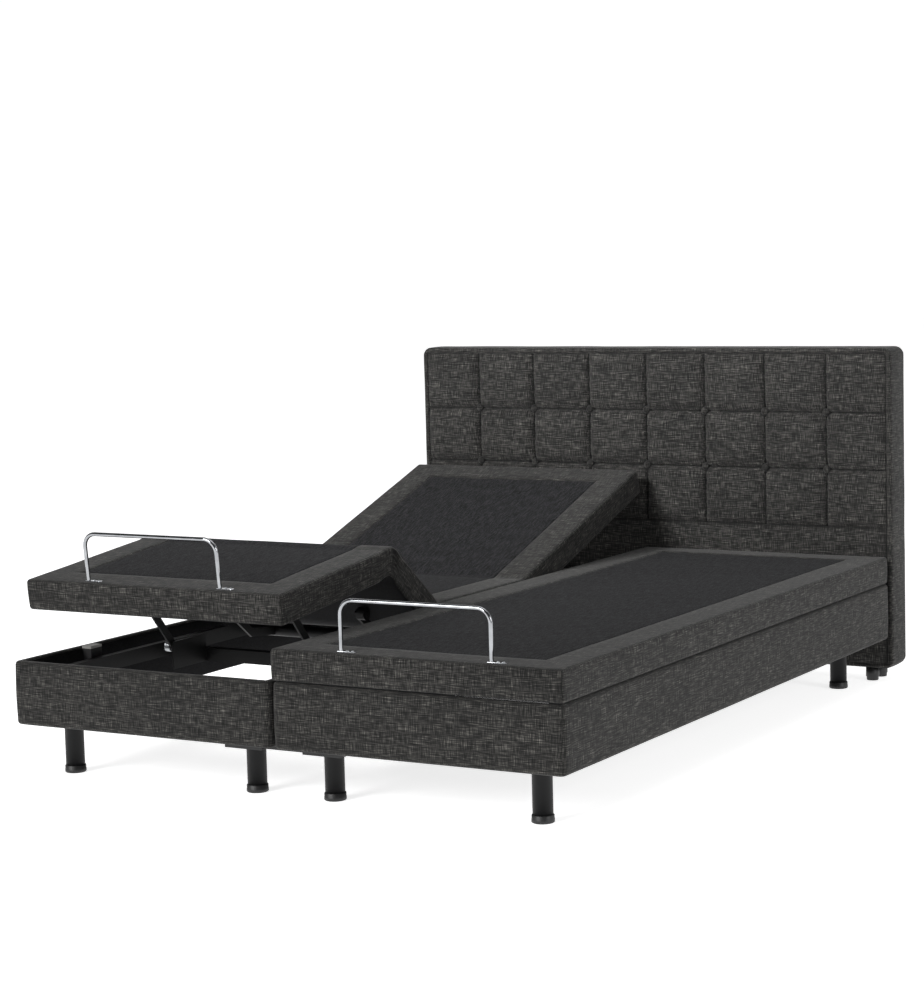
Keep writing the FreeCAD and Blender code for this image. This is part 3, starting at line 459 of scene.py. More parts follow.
def shapeCover(unit, lattice, points, wrinkled):
    # seam round the centre panel, padded sides, and creases over a bent knee, with painted shade down the seams
    # and the crease valleys
    shaped = points.copy()
    half, skin = unit["half"], 2 * mm
    x = np.abs(points[:, 0] - unit["centre"])
    panelHalf = half - deckCover["border"]
    panelFoot = unit["foot"] + deckCover["footBorder"]
    panelHead = unit["head"] - deckCover["headBorder"]
    outside = np.maximum(x - panelHalf, np.maximum(panelFoot - points[:, 1], points[:, 1] - panelHead))
    onTop = (lattice[:, 2] > unit["top"] - 1e-6)
    drop = deckCover["seamDepth"] * np.exp(-(outside / deckCover["seamWidth"]) ** 2)
    drop += deckCover["panelDrop"] * np.clip(0.5 - outside / (4 * deckCover["seamWidth"]), 0, 1)
    shaped[:, 2] -= drop * onTop
    rise = np.clip((points[:, 2] - unit["low"]) / (unit["top"] - unit["low"]), 0, 1)
    swell = deckCover["bulge"] * np.sin(math.pi * rise) * (1 + 0.7 * softNoise(points, 0.11, 3.0))
    outward = np.sign(points[:, 0] - unit["centre"]) * (x > half - skin)
    shaped[:, 0] += swell * outward
    shaped[:, 1] -= swell * (points[:, 1] < unit["foot"] + skin)
    shaped[:, 2] += deckCover["ripple"] * softNoise(points, 0.16, 9.0) * onTop
    # painted shade: a dark line along the seam round the centre panel, for its thread and the shadow in its groove
    shade = np.clip(1.4 - np.abs(outside) / deckCover["seamShadow"], 0, 1) * onTop
    if wrinkled:  # the spare cloth on the thigh side of a bent knee gathers in short arcs
        crease = kneeCrease
        away = points[:, 1] - unit["knee"]
        below = unit["top"] - points[:, 2]
        along = np.clip((away - crease["from"]) / crease["rise"], 0, 1)
        along = along * np.clip((crease["to"] - away) / crease["fall"], 0, 1)
        onSide = np.clip((x - panelHalf) / crease["topReach"], 0, 1)
        for level in crease["levels"]:
            off = (below - level - crease["drop"] * np.abs(away)) / crease["width"]
            valley = np.exp(-off ** 2) * along * (x > half - crease["wrap"])
            shaped[:, 0] -= outward * crease["depth"] * valley
            shaped[:, 0] += outward * 0.5 * crease["depth"] * np.exp(-(off - 2) ** 2) * along
            # painted shade down each crease's valley
            shade = np.maximum(shade, valley)
        for line in crease["topLines"]:
            ridge = np.exp(-((away - line - crease["topSlant"] * (x - half)) / crease["topWidth"]) ** 2)
            shaped[:, 2] -= crease["topDepth"] * ridge * onSide * onTop
    # painted shade along the stitched seams down the corners at the ends and at the knee on each side
    atCorner = (np.abs(np.abs(lattice[:, 0] - unit["centre"]) - unit["half"]) < 1e-6)
    atEnd = (np.abs(lattice[:, 1] - unit["foot"]) < 1e-6) | (np.abs(lattice[:, 1] - unit["head"]) < 1e-6)
    sideSeam = atCorner & (np.abs(lattice[:, 1] - unit["knee"]) < 1e-6)
    return shaped, np.maximum(shade, 0.8 * ((atCorner & atEnd) | sideSeam))


def coverLength(unit, name, low, high, openLow, openHigh, fold, pose, replaced):
    r = deckCover["edgeRadius"]
    half, centre = unit["half"], unit["centre"]
    seam = deckCover["seamWidth"]
    seamLines = [d * seam for d in (-2, -1.2, -0.6, 0, 0.6, 1.2, 2)]
    panelHalf = half - deckCover["border"]
    xStops = [-half + d for d in edgeStops(r)] + [-panelHalf + d for d in seamLines]
    xStops += [-d for d in reversed(xStops)]
    xs = [centre + x for x in fillLine(xStops, deckCover["step"])]
    foldHalf = deckCover["kneeLength" if pose is poseLeg else "foldLength"] / 2
    yStops = {low, high, fold - foldHalf, fold, fold + foldHalf}
    if not openLow:
        yStops |= {low + d for d in edgeStops(r)} | {low + deckCover["footBorder"] + d for d in seamLines}
    if not openHigh:
        yStops |= {high - d for d in edgeStops(r)} | {high - deckCover["headBorder"] + d for d in seamLines}
    ys = []
    yStops = sorted(yStops)
    for a, b in zip(yStops, yStops[1:]):
        inFold = a >= fold - foldHalf - 1e-6 and b <= fold + foldHalf + 1e-6
        ys += fillLine([a, b], deckCover["foldStep"] if inFold else deckCover["step"])[:-1]
    ys.append(yStops[-1])
    zStops = [unit["low"] + d for d in edgeStops(r)] + [unit["top"] - d for d in reversed(edgeStops(r))]
    zs = fillLine(zStops, deckCover["kneeSideStep" if pose is poseLeg else "sideStep"])
    lattice, faces, sides = boxSkin(xs, ys, zs, openLow, openHigh)
    far = 1.0  # an open end has its limit this far off, so it isn't rounded
    limitsLow = (centre - half, low - (far if openLow else 0), unit["low"])
    limitsHigh = (centre + half, high + (far if openHigh else 0), unit["top"])
    flat = roundOff(lattice, limitsLow, limitsHigh, r)
    flat, shade = shapeCover(unit, lattice, flat, pose is poseLeg and unit["kneeFold"] > 0.1)
    posed, start, end = settleBend(unit, flat, pose, fold, foldHalf)
    panelFoot, panelHead = unit["foot"] + deckCover["footBorder"], unit["head"] - deckCover["headBorder"]
    kinds = []
    for face, side in zip(faces, sides):
        middle = lattice[list(face)].mean(0)
        inPanel = abs(middle[0] - centre) < panelHalf and panelFoot < middle[1] < panelHead
        kinds.append(1 if side == "top" and inPanel else 2 if side == "under" else 0)
    cover = meshObject(f"{unit['side']}{name}", posed, faces,
                       [slubWeaveCloth, centrePanelCloth, liningCloth], kinds)
    layWeave(cover, lattice)
    paintShadeOn(cover, shade)
    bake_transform(cover)
    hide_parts(*replaced)
    return cover


for side, unit in units.items():
    midThigh = (unit["hip"] + unit["knee"]) / 2
    midSeat = (unit["hip"] + unit["back"]) / 2
    coverLength(unit, "LegCover", unit["foot"], midThigh, False, True, unit["knee"], poseLeg,
                [f"{side}_calf_pad", f"{side}_calf_board"])
    coverLength(unit, "SeatCover", midThigh, midSeat, True, True, unit["hip"], poseHip,
                [f"{side}_thigh_pad", f"{side}_thigh_board", f"{side}_seat_pad", f"{side}_seat_board"])
    coverLength(unit, "BackCover", midSeat, unit["head"], True, False, unit["back"], poseBack,
                [f"{side}_back_pad", f"{side}_back_board"])
print("deck covers made")


# box surrounds: boards wrapped in padded cloth, black lining inside

boxWrap = {
    "cornerRadius": 18 * mm, "edgeRadius": 9 * mm, "wall": 22 * mm, "swell": 1.6 * mm, "rises": 8,
    "ripple": 0.4 * mm, "step": 30 * mm, "lip": 14 * mm,
    "topEdge": ((5, 0), (1, 2), (0, 6)),  # mm out from the wall's inner face, mm down from its top
}


def roundedPath(xLow, xHigh, yLow, yHigh, radius, step):
    # points round a rectangle with rounded corners, each with its outward direction, anticlockwise from above
    path = []
    corners = (((xHigh - radius, yLow + radius), -90), ((xHigh - radius, yHigh - radius), 0),
               ((xLow + radius, yHigh - radius), 90), ((xLow + radius, yLow + radius), 180))
    for index, ((cx, cy), start) in enumerate(corners):
        for turn in range(0, 91, 10):
            a = math.radians(start + turn)
            path.append((cx, cy, math.cos(a), math.sin(a)))
        (nx, ny), _ = corners[(index + 1) % 4]
        a = math.radians(start + 90)
        length = math.hypot(nx - cx, ny - cy)
        count = math.ceil(length / step)
        for i in range(1, count):
            x, y = cx + (nx - cx) * i / count, cy + (ny - cy) * i / count
            path.append((x, y, math.cos(a), math.sin(a)))
    return [(x, y, dx, dy, radius) for x, y, dx, dy in path]


def sweepRing(name, path, section, materials, sectionMaterial, upright=False):
    # section points are (distance in from the outer face, height); the ring closes both ways
    points, faces, kinds = [], [], []
    count, loops = len(section), len(path)
    for x, y, dx, dy, radius in path:
        for inward, height in section:
            reach = radius - inward
            px, py = x + dx * reach, y + dy * reach
            points.append((px, height, py) if upright else (px, py, height))
    for i in range(loops):
        for j in range(count):
            a, b = i * count + j, i * count + (j + 1) % count
            c, d = ((i + 1) % loops) * count + (j + 1) % count, ((i + 1) % loops) * count + j
            faces.append((a, b, c, d) if upright else (a, d, c, b))
            kinds.append(sectionMaterial[j])
    return meshObject(name, points, faces, materials, kinds)


def arcSection(cx, cz, radius, start, end, count=4):  # quarter rounds of a section
    angles = [math.radians(start + (end - start) * i / count) for i in range(count + 1)]
    return [(cx + radius * math.cos(a), cz + radius * math.sin(a)) for a in angles]


def boxSurround(unit):
    low, high = unit["railLow"], unit["railHigh"]
    r, wall = boxWrap["edgeRadius"], boxWrap["wall"]
    outer = arcSection(r, low.z + r, r, 270, 180)  # bottom edge, then up the outer face
    for i in range(1, boxWrap["rises"]):
        share = i / boxWrap["rises"]
        height = low.z + r + (high.z - low.z - 2 * r) * share
        outer.append((-boxWrap["swell"] * math.sin(math.pi * share), height))
    outer += arcSection(r, high.z - r, r, 180, 90)
    outer += [(wall - out * mm, high.z - down * mm) for out, down in boxWrap["topEdge"]]
    inner = [(wall, high.z - boxWrap["lip"]), (wall, (low.z + high.z) / 2), (wall, low.z + 3 * mm),
             (wall - 3 * mm, low.z)]
    kinds = [0] * (len(outer) - 1) + [1] * (len(inner) + 1)
    path = roundedPath(low.x, high.x, low.y, high.y, boxWrap["cornerRadius"], boxWrap["step"])
    ring = sweepRing(f"{unit['side']}BoxSurround", path, outer + inner, [slubWeaveCloth, liningCloth], kinds)
    points = getPoints(ring)
    points[:, 2] += boxWrap["ripple"] * softNoise(points, 0.14, 2.0)
    setPoints(ring, points)
    layWeave(ring)
    finishPiece(ring, "base", [f"{unit['side']}_side_rails", f"{unit['side']}_end_rails"])
    return ring


for unit in units.values():
    boxSurround(unit)
print("box surrounds made")


# legs: powder coated steel tube with a moulded foot cap

def lathe(name, profile, place, material, segments=40):
    points = []
    for radius, z in profile:
        for i in range(segments):
            a = 2 * math.pi * i / segments
            points.append((place[0] + radius * math.cos(a), place[1] + radius * math.sin(a), z))
    return meshObject(name, points, closedRings(0, len(profile), segments), [material])


def solidPlaces(node):  # the box round every separate solid of a node, from left to right
    mesh = frame["nodes"][node].data
    parent = list(range(len(mesh.vertices)))

    def root(i):
        while parent[i] != i:
            parent[i] = parent[parent[i]]
            i = parent[i]
        return i
    seen = {}
    for v in mesh.vertices:
        key = tuple(round(c, 5) for c in v.co)
        parent[v.index] = seen.setdefault(key, v.index)
    for face in mesh.polygons:
        first = root(face.vertices[0])
        for v in face.vertices[1:]:
            parent[root(v)] = first
    groups = {}
    for v in mesh.vertices:
        groups.setdefault(root(v.index), []).append(v.co)
    boxes = [(Vector(map(min, zip(*g))), Vector(map(max, zip(*g)))) for g in groups.values()]
    return sorted(boxes, key=lambda b: (round(b[0].x, 3), round(b[0].y, 3)))


def turnedParts(node, name, shape, material, segments=40):  # one turned piece for every solid of a node
    made = []
    for low, high in solidPlaces(node):
        radius, place = (high.x - low.x) / 2, ((low.x + high.x) / 2, (low.y + high.y) / 2)
        profile = [(radius - inset * mm, low.z + rise * mm) for inset, rise in shape["low"]]
        profile += [(radius - inset * mm, high.z - drop * mm) for inset, drop in shape["high"]]
        made.append(lathe(name, profile, place, material, segments))
    return finishPiece(joinMeshes(name, made), "base", [node])


# profiles in mm: in from the CAD radius, then up from the low end or down from the high end
legTube = {"low": ((2, 0), (0, 0)), "high": ((0, 8), (-1.2, 7), (-1.2, 0.2), (3, 0.2))}
legFoot = {"low": ((5, 0), (2, 0.3), (0, 2), (0, 9), (0.6, 10)), "high": ((0.6, 2), (2.6, 0))}
turnedParts("legs", "legTubes", legTube, powderCoatSteel)
turnedParts("leg_feet", "legFootCaps", legFoot, mouldedAbs)
print("legs made")


# mattress retainers: bent chrome tube welded to screwed feet

retainer = {
    "radius": 5.25 * mm, "corner": 35 * mm, "half": 205 * mm, "rise": 130 * mm, "fromFoot": 20 * mm,
    "stub": 4 * mm, "sides": 20,
}
retainerFoot = {
    "width": 13 * mm, "length": 42 * mm, "thick": 2.6 * mm, "tail": 8 * mm, "bevel": (0.8 * mm, 0.6 * mm),
    "screws": (17 * mm, 32 * mm),  # from the tube
    "dome": ((4.2, 0), (4.1, 0.8), (3.4, 1.7), (2.2, 2.3), (1.2, 2.3), (1.0, 1.4)),  # mm: radius, height
}


def sweepTube(name, path, radius, material, sides):
    points = []
    for index, p in enumerate(path):
        ahead = path[min(index + 1, len(path) - 1)] - path[max(index - 1, 0)]
        ahead.normalize()
        side = Vector((0, 1, 0))
        up = ahead.cross(side).normalized()
        for i in range(sides):
            a = 2 * math.pi * i / sides
            points.append(p + (side * math.cos(a) + up * math.sin(a)) * radius)
    return meshObject(name, points, closedRings(0, len(path), sides), [material])


def retainerBar(unit):
    # built flat about the calf's axis, then turned with the calf section
    half, corner, stub = retainer["half"], retainer["corner"], retainer["stub"]
    y = unit["foot"] + retainer["fromFoot"]
    base = unit["top"]
    top = base + retainer["rise"] - retainer["radius"]
    path = [Vector((-half, y, base)), Vector((-half, y, base + stub))]
    for start, cx in ((180, -half + corner), (90, half - corner)):
        for turn in range(0, 91, 9):
            a = math.radians(start - turn)
            path.append(Vector((cx + corner * math.cos(a), y, top - corner + corner * math.sin(a))))
    path += [Vector((half, y, base + stub)), Vector((half, y, base))]
    pieces = [sweepTube("retainerTube", path, retainer["radius"], chromeSteel, retainer["sides"])]
    for sign in (-1, 1):
        pieces += footPlate(sign * half, y, base)
    whole = joinMeshes(f"{unit['side']}RetainerBar", pieces)
    points = getPoints(whole)
    points[:, 0] += unit["centre"]
    setPoints(whole, poseLeg(unit, points, np.zeros(len(points))))
    return finishPiece(whole, f"{unit['side']}_calf", [f"{unit['side']}_retainer_bar"])


def footPlate(x, y, base):
    # a pressed tongue to the right of the tube's foot, with two dome screws
    foot = retainerFoot
    width, thick, left = foot["width"], foot["thick"], x - foot["tail"]
    tip = x + foot["length"] - width / 2
    outline = [(left, y - width / 2), (tip, y - width / 2)]
    for turn in range(15, 180, 15):
        a = math.radians(turn)
        outline.append((tip + width / 2 * math.sin(a), y - width / 2 * math.cos(a)))
    outline += [(tip, y + width / 2), (left, y + width / 2)]
    points = []
    cx = x + foot["length"] / 2
    inward, downward = foot["bevel"]
    for inset, z in ((0, base), (0, base + thick - downward), (inward, base + thick)):
        for px, py in outline:
            reach = math.hypot(px - cx, py - y)
            share = (reach - inset) / reach
            points.append((cx + (px - cx) * share, y + (py - y) * share, z))
    faces = closedRings(0, 3, len(outline))
    dome = [(radius * mm, base + thick + rise * mm) for radius, rise in foot["dome"]]
    return [meshObject("retainerPlate", points, faces, [chromeSteel], smooth=False)] + [
        lathe("retainerScrew", dome, (x + offset, y), zincSteel, 20) for offset in foot["screws"]]


for unit in units.values():
    retainerBar(unit)
print("retainer bars made")


# headboard: upholstered panel, boxed border and tufted face with covered buttons

board = {
    "edgeSeam": 17 * mm, "edgeBulge": 1.44 * mm, "topRadius": 26 * mm, "lowSeam": 463 * mm, "lowGap": 6 * mm,
    "step": 14 * mm, "finePanel": 6 * mm, "quickPanel": 12 * mm, "ripple": 0.8 * mm,
    "buttonRadius": 13 * mm, "buttonRise": 7 * mm, "buttonRoot": 5 * mm,
}
tuft = {  # depths of the stitched hollows and how far each one reaches
    "stitch": 6 * mm, "stitchReach": 2.8 * mm, "roll": 5 * mm, "rollReach": 15 * mm,
    "edge": 5 * mm, "edgeReach": 5 * mm, "button": 6 * mm, "buttonReach": 26 * mm,
    "crown": 4 * mm, "pleat": 1.5 * mm, "pleats": 8, "pleatFrom": 12 * mm, "pleatReach": 20 * mm,
    "unevenness": 0.9 * mm, "beside": (1.6 * mm, 4 * mm, 8 * mm),
}
stuffing = {  # cloth settings for the tufted face as it settles over its filling
    "quality": 5, "mass": 0.3, "tension_stiffness": 25, "compression_stiffness": 25, "shear_stiffness": 15,
    "bending_stiffness": 0.8, "vertex_group_mass": "stitched", "pin_stiffness": 1, "shrink_min": -0.03,
    "use_pressure": True, "uniform_pressure_force": 4.0,
}
settling = {"frames": 20, "furthest": 3.5 * mm}
bandEdge = {  # section of the boxed border, mm: in from the seam, back from the front face
    "piping": ((3, 14), (0, 5.5), (-1.5, 2.6), (-5, 0.8), (-8, 0.5)),
    "frontRound": 9 * mm, "frontStart": 9.5 * mm, "backRound": 8 * mm, "turnIn": 28 * mm, "rises": 8,
}
padLow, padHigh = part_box("headboard_pad")
_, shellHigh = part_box("headboard_frame")
buttonBoxes = solidPlaces("headboard_buttons")


def gridSheet(name, xs, zs, y, materials):
    points = [(x, y, z) for z in zs for x in xs]
    wide = len(xs)
    faces = []
    for k in range(len(zs) - 1):
        for i in range(wide - 1):
            a = k * wide + i
            faces.append((a, a + 1, a + 1 + wide, a + wide))
    return meshObject(name, points, faces, materials)


def roundSheetCorners(points, half, top, radius):  # square grid corners drawn in to the rounded outline
    cx, cz = half - radius, top - radius
    u, v = np.abs(points[:, 0]) - cx, points[:, 2] - cz
    inCorner = (u > 0) & (v > 0)
    reach = np.hypot(u, v)
    share = np.where(inCorner, np.maximum(u, v) / np.maximum(reach, 1e-9), 1.0)
    points[:, 0] = np.where(inCorner, np.sign(points[:, 0]) * (cx + u * share), points[:, 0])
    points[:, 2] = np.where(inCorner, cz + v * share, points[:, 2])
    return points


def settleCloth(made, pinned):
    # lets the cloth fill out over its stuffing between the stitched lines
    start = getPoints(made).copy()
    group = made.vertex_groups.new(name="stitched")
    group.add([int(i) for i in np.flatnonzero(pinned)], 1.0, "REPLACE")
    cloth = made.modifiers.new("cloth", "CLOTH")
    for name, value in stuffing.items():
        setattr(cloth.settings, name, value)
    cloth.settings.effector_weights.gravity = 0
    cloth.collision_settings.use_collision = False
    cloth.collision_settings.use_self_collision = False
    cloth.point_cache.frame_start, cloth.point_cache.frame_end = 1, settling["frames"]
    scene = bpy.context.scene
    for at in range(1, settling["frames"] + 1):
        scene.frame_set(at)
    settled = made.evaluated_get(bpy.context.evaluated_depsgraph_get()).to_mesh()
    moved = np.empty(len(settled.vertices) * 3)
    settled.vertices.foreach_get("co", moved)
    moved = moved.reshape(-1, 3)
    made.modifiers.remove(cloth)
    made.vertex_groups.clear()
    scene.frame_set(1)
    step = moved - start
    length = np.linalg.norm(step, axis=1)
    length[length < 1e-9] = 1
    furthest = settling["furthest"]
    step *= np.minimum(1, furthest * np.tanh(length / furthest) / length)[:, None]
    print("cloth settled, largest move", round(float(np.linalg.norm(step, axis=1).max()) * 1000, 2), "mm")
    setPoints(made, start + step)


def sheetEdge(points, half, low, high):  # how far each point lies in from the nearest edge
    across = half - np.abs(points[:, 0])
    return np.minimum(across, np.minimum(high - points[:, 2], points[:, 2] - low))


def headboardFront():
    front = padLow.y
    half = padHigh.x - board["edgeSeam"]
    top = padHigh.z - board["edgeSeam"]
    columns = sorted({round((low.x + high.x) / 2, 4) for low, high in buttonBoxes})
    rows = sorted({round((low.z + high.z) / 2, 4) for low, high in buttonBoxes})
    step = board["finePanel"]
    xStops, zStops = [-half] + columns + [half], [board["lowSeam"]] + rows + [top]
    lines = []
    for stops in (xStops, zStops):
        near = {stop + sign * d for stop in stops for d in tuft["beside"] for sign in (-1, 1)}
        lines.append(fillLine(sorted(set(stops) | {n for n in near if stops[0] < n < stops[-1]}), step))
    sheet = gridSheet("tuftedPanel", lines[0], lines[1], front, [slubWeaveCloth])
    points = getPoints(sheet)
    toColumn = np.min(np.abs(points[:, 0:1] - np.array([columns])), axis=1)
    toRow = np.min(np.abs(points[:, 2:3] - np.array([rows])), axis=1)
    toEdge = sheetEdge(points, half, board["lowSeam"], top)
    buttonAt = np.array([(x, z) for x in columns for z in rows])
    offset = points[:, None, [0, 2]] - buttonAt[None]
    reach = np.hypot(offset[..., 0], offset[..., 1])
    nearest = np.argmin(reach, axis=1)
    toButton = reach[np.arange(len(points)), nearest]
    around = offset[np.arange(len(points)), nearest]
    angle = np.arctan2(around[:, 1], around[:, 0])
    toSeam = np.minimum(toColumn, toRow)
    depth = tuft["stitch"] * np.exp(-toSeam / tuft["stitchReach"])
    depth += tuft["roll"] * np.exp(-toSeam / tuft["rollReach"])
    depth += tuft["edge"] * np.exp(-toEdge / tuft["edgeReach"])
    depth += tuft["button"] * np.exp(-(toButton / tuft["buttonReach"]) ** 1.3)
    cellEdges = (np.array(xStops), np.array(zStops))
    shares = []
    for values, edges in zip((points[:, 0], points[:, 2]), cellEdges):
        cell = np.clip(np.searchsorted(edges, values, side="right") - 1, 0, len(edges) - 2)
        shares.append((values - edges[cell]) / (edges[cell + 1] - edges[cell]))
    crown = np.sin(math.pi * np.clip(shares[0], 0, 1)) * np.sin(math.pi * np.clip(shares[1], 0, 1))
    depth -= tuft["crown"] * np.clip(crown, 0, 1) ** 0.6
    pleat = np.cos(angle * tuft["pleats"] + 2.5 * softNoise(points, 0.05, 4.0))
    pleat *= np.exp(-(toButton - 14 * mm) / tuft["pleatReach"])
    depth += tuft["pleat"] * pleat * (toButton > tuft["pleatFrom"])
    depth += tuft["unevenness"] * softNoise(points, 0.045, 1.0) * np.clip(toSeam / (20 * mm), 0, 1)
    points[:, 1] += depth
    setPoints(sheet, roundSheetCorners(points, half, top, board["topRadius"] - board["edgeSeam"]))
    pinned = (toEdge < 1 * mm) | (toSeam < 1 * mm) | (toButton < board["buttonRadius"])
    settleCloth(sheet, pinned)
    # painted shade along the tuft lines and the panel's stitched edges, and in a ring round each button
    shade = np.clip(1.5 - np.minimum(toSeam, toEdge) / (1.7 * mm), 0, 1)
    paintShadeOn(sheet, np.maximum(shade, 0.8 * np.clip(2.4 - toButton / (8 * mm), 0, 1)))
    return sheet


def headboardLower():
    half, low = padHigh.x - board["edgeSeam"], padLow.z + board["lowGap"]
    xs, zs = fillLine([-half, half], board["step"]), fillLine([low, board["lowSeam"]], board["step"])
    sheet = gridSheet("plainPanel", xs, zs, padLow.y, [slubWeaveCloth])
    points = getPoints(sheet)
    toEdge = sheetEdge(points, half, low, board["lowSeam"])
    tuckedIn = 5.5 * mm * np.exp(-toEdge / (8 * mm)) - 1.5 * mm
    points[:, 1] += tuckedIn + board["ripple"] * softNoise(points, 0.12, 6.0)
    setPoints(sheet, points)
    # painted shade along the panel's stitched edges
    paintShadeOn(sheet, toEdge < 0.5 * mm)
    return sheet


def headboardBand():
    front, back, seam = padLow.y, shellHigh.y, board["edgeSeam"]
    frontRound, frontEnd, r = bandEdge["frontRound"], front + bandEdge["frontStart"], bandEdge["backRound"]
    section = [(seam + inward * mm, front + behind * mm) for inward, behind in bandEdge["piping"]]
    section += arcSection(frontRound, frontEnd, frontRound, 270, 180)
    for i in range(1, bandEdge["rises"]):
        share = i / bandEdge["rises"]
        bulge = board["edgeBulge"] * math.sin(math.pi * share)
        section.append((-bulge, frontEnd + (back - frontEnd - r) * share))
    section += arcSection(r, back - r, r, 180, 90)
    cloth = len(section)
    section += [(bandEdge["turnIn"], back), (bandEdge["turnIn"], back - 1 * mm)]
    path = roundedPath(padLow.x, padHigh.x, padLow.z, padHigh.z, board["topRadius"], 2 * board["step"])
    band = sweepRing("headboardBand", path, section, [slubWeaveCloth, liningCloth],
                     [0] * cloth + [1] * 2, upright=True)
    points = getPoints(band)
    ripple = board["ripple"] * softNoise(points, 0.1, 12.0)
    points[:, 0] += ripple * np.sign(points[:, 0]) * (np.abs(points[:, 0]) > padHigh.x - 3 * mm)
    points[:, 2] += ripple * (points[:, 2] > padHigh.z - 3 * mm)
    setPoints(band, points)
    return band


def headboardBack():
    inset = 26 * mm
    xs = fillLine([padLow.x + inset, padHigh.x - inset], 40 * mm)
    zs = fillLine([padLow.z + inset, padHigh.z - inset], 40 * mm)
    sheet = gridSheet("headboardBackLining", list(reversed(xs)), zs, shellHigh.y - 0.6 * mm, [liningCloth])
    points = getPoints(sheet)
    points[:, 1] -= 1.5 * mm * np.abs(softNoise(points, 0.2, 8.0))
    setPoints(sheet, points)
    return sheet


def coveredButtons():
    radius, rise = board["buttonRadius"], board["buttonRise"]
    points, faces = [], []
    rings, segments, root = 7, 28, board["buttonRoot"]
    for low, high in buttonBoxes:
        first, cx, cz = len(points), (low.x + high.x) / 2, (low.z + high.z) / 2
        for ring in range(rings):
            a = math.radians(90 * ring / (rings - 1))
            for i in range(segments):
                b = 2 * math.pi * i / segments
                uneven = 1 + 0.012 * math.sin(5 * b + cx * 40)
                reach = radius * math.cos(a * 0.97) * uneven
                points.append((cx + reach * math.cos(b), low.y + root - (rise + root) * math.sin(a),
                               cz + reach * math.sin(b)))
        faces += closedRings(first, rings, segments)
    made = meshObject("coveredButtons", points, faces, [slubWeaveCloth])
    ringOf = np.arange(len(points)) % (rings * segments) // segments
    # painted shade over each button: dark round its rim, lightly darker over its dome
    paintShadeOn(made, np.where(ringOf < 3, 0.9, 0.25))
    return made


clothParts = (headboardFront(), headboardLower(), headboardBand(), headboardBack())
cover = joinMeshes("HeadboardCover", [layWeave(part) for part in clothParts])
finishPiece(cover, "base", ["headboard_pad", "headboard_frame"])
finishPiece(layWeave(coveredButtons()), "base", ["headboard_buttons"])
headFoot = {"low": ((6, 0), (3, 0.5), (2, 3), (2, 10), (0, 12)), "high": ((0, -0.5),)}
turnedParts("headboard_feet", "headboardFeet", headFoot, mouldedAbs, 32)
print("headboard made")


# the CAD nodes kept as they are: crisp edges broken, finish by what each is made of

nodeFinish = (  # the first material with a word that stands in the node's name is taken
    (groundRod, ("actuator_rod",)), (mouldedNylon, ("rollers",)), (paintedBatten, ("support_blocks",)),
    (mouldedAbs, ("actuator", "control_boxes", "leg_plates", "unit_connector")),
    (zincSteel, ("hinges", "calf_fittings", "headboard_brackets")),
    (powderCoatSteel, ("calf_links", "lift_arm", "chassis")),
)
brokenEdge = {"width": 0.8 * mm, "segments": 2, "fromAngle": 35}
bushRadius = 17 * mm
for name, node in frame["nodes"].items():
    finish = next((material for material, words in nodeFinish if any(w in name for w in words)), None)
    if finish is None:
        continue
    node.data.materials.clear()
    node.data.materials.append(finish)
    bevel = node.modifiers.new("brokenEdge", "BEVEL")
    bevel.width = brokenEdge["width"]
    bevel.segments = brokenEdge["segments"]
    bevel.limit_method = "ANGLE"
    bevel.angle_limit = math.radians(brokenEdge["fromAngle"])

for side, unit in units.items():  # bright bushes on the link pivots
    pivot = jointPlace(side + "_link_turn")
    linkLow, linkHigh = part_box(side + "_calf_links")
    mesh = frame["nodes"][side + "_chassis"].data
    mesh.materials.append(zincSteel)
    for face in mesh.polygons:
        away = math.hypot(face.center.y - pivot.y, face.center.z - pivot.z)
        if away < bushRadius and not linkLow.x - 0.5 * mm < face.center.x < linkHigh.x + 0.5 * mm:
            face.material_index = 1
print("kept nodes finished")


# studio: white sweep, soft lights from the front left, the right and above, one for the headboard,
# and one long-lens camera

studio = {  # light powers in watts, surroundings as strengths between bands of direction
    "floorSize": 60, "floorGlow": 0.8, "key": 2350, "side": 200, "board": 13, "top": 60,
    "horizon": 1.02, "overhead": 0.36, "liftBand": (0.2, 0.5),
    "front": 0.2, "aheadBand": (0.0, 0.55), "lowBand": (0.05, 0.14),
}


def studioFloor():
    # white laminate sweep, lit from behind as for cut-out product pictures: even, matt
    material, tree, shader = newMaterial("backlitWhiteLaminate", {
        "Roughness": 0.9, "Emission Color": (1, 1, 1, 1), "Emission Strength": studio["floorGlow"]})
    place = addNode(tree, "ShaderNodeTexCoord").outputs["Object"]
    cloud = stretchedNoise(tree, place, (0.6, 0.6, 0.6), 1.0)
    tree.links.new(rampColour(tree, cloud, ((0.3, "#f3f3f3"), (0.7, "#f5f5f5"))), shader.inputs["Base Color"])
    return material


bpy.ops.mesh.primitive_plane_add(size=studio["floorSize"], location=(0, 0, 0))
floor = bpy.context.object
floor.name = "floor"
floor.data.materials.append(studioFloor())


def fade(tree, value, band, ends):  # smooth change of strength over a band of directions
    node = addNode(tree, "ShaderNodeMapRange", {
        "Value": value, "From Min": band[0], "From Max": band[1], "To Min": ends[0], "To Max": ends[1]},
        interpolation_type="SMOOTHSTEP")
    return node.outputs["Result"]


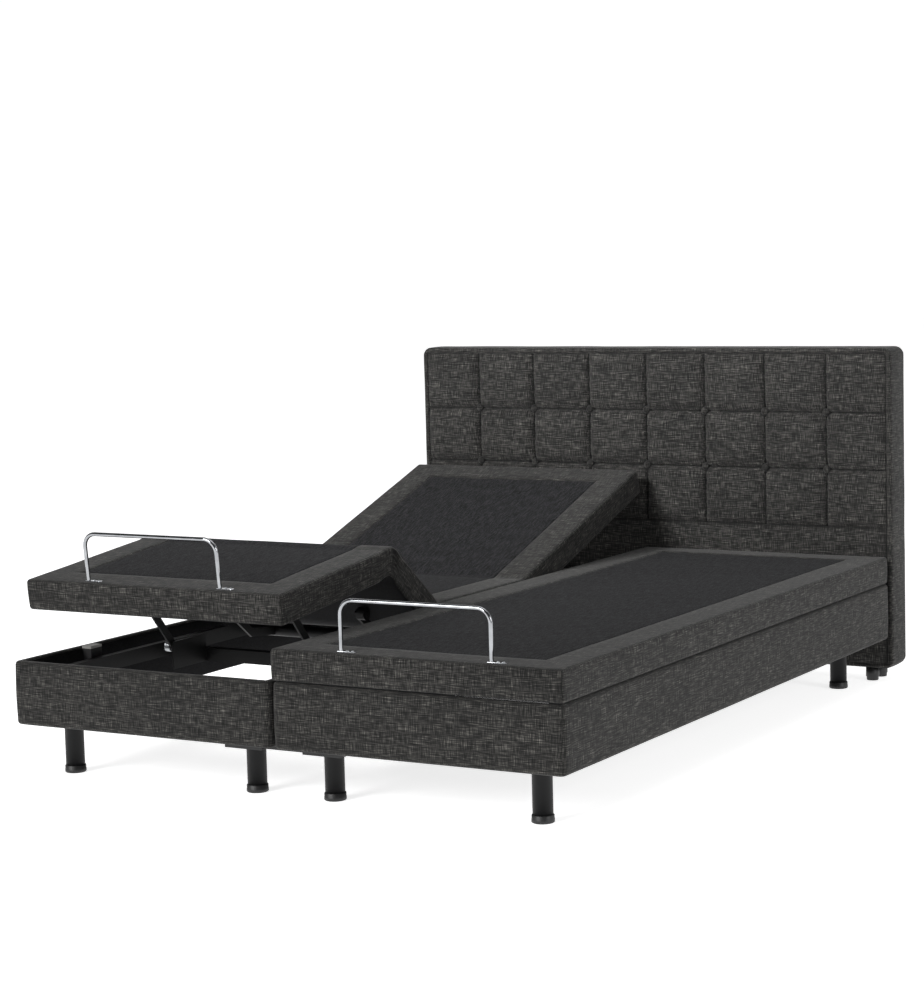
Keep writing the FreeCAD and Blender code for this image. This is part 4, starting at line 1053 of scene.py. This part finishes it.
# surroundings: white behind the bed and low down all round, darker overhead and in front,
# so that chrome has an edge
world = bpy.data.worlds.new("studio")
world.use_nodes = True
bpy.context.scene.world = world
tree = world.node_tree
direction = addNode(tree, "ShaderNodeTexCoord").outputs["Generated"]
parts = addNode(tree, "ShaderNodeSeparateXYZ", {"Vector": direction})
lift = fade(tree, parts.outputs["Z"], studio["liftBand"], (studio["horizon"], studio["overhead"]))
ahead = fade(tree, parts.outputs["Y"], studio["aheadBand"], (studio["front"], 1.0))
lowBand = fade(tree, parts.outputs["Z"], studio["lowBand"], (1.0, 0.0))
strength = calculate(tree, "MULTIPLY", lift, calculate(tree, "MAXIMUM", ahead, lowBand))
background = tree.nodes["Background"]
background.inputs["Color"].default_value = (1, 1, 1, 1)
tree.links.new(strength, background.inputs["Strength"])


def softLight(name, place, aim, size, power, spread=180):
    data = bpy.data.lights.new(name, "AREA")
    data.shape = "RECTANGLE"
    data.size, data.size_y = size
    data.energy = power
    data.spread = math.radians(spread)
    lamp = bpy.data.objects.new(name, data)
    lamp.location = place
    lamp.rotation_euler = (Vector(aim) - Vector(place)).to_track_quat("-Z", "Y").to_euler()
    bpy.context.scene.collection.objects.link(lamp)


softLight("keyLight", (-6.0, -16.0, 8.6), (0, 0, 0.5), (9.0, 7.0), studio["key"])
softLight("sideLight", (9.0, -1.5, 3.4), (0, 0, 0.4), (2.4, 3.6), studio["side"])
softLight("boardLight", (-1.6, -3.6, 3.1), (0.1, 1.0, 0.95), (1.2, 0.6), studio["board"], 40)
softLight("topLight", (0.5, 0.5, 5.0), (0, 0, 0.3), (4.0, 4.0), studio["top"])

view = {"place": (3.3442, -5.7838, 1.3261), "yaw": 29.356, "pitch": 6.009, "roll": -1.371, "lens": 87.1,
        "shift": -0.058}
camera = bpy.data.objects.new("camera", bpy.data.cameras.new("camera"))
yaw, pitch, roll = (math.radians(view[k]) for k in ("yaw", "pitch", "roll"))
ahead = Vector((-math.sin(yaw) * math.cos(pitch), math.cos(yaw) * math.cos(pitch), -math.sin(pitch)))
right = Vector((math.cos(yaw), math.sin(yaw), 0))
above = right.cross(ahead)
rightward = right * math.cos(roll) + above * math.sin(roll)
upward = above * math.cos(roll) - right * math.sin(roll)
camera.matrix_world = Matrix((
    (rightward.x, upward.x, -ahead.x, view["place"][0]),
    (rightward.y, upward.y, -ahead.y, view["place"][1]),
    (rightward.z, upward.z, -ahead.z, view["place"][2]), (0, 0, 0, 1)))
camera.data.lens = view["lens"]
camera.data.shift_x = view["shift"]
bpy.context.scene.collection.objects.link(camera)
bpy.context.scene.camera = camera
bpy.context.scene.view_settings.view_transform = "Standard"
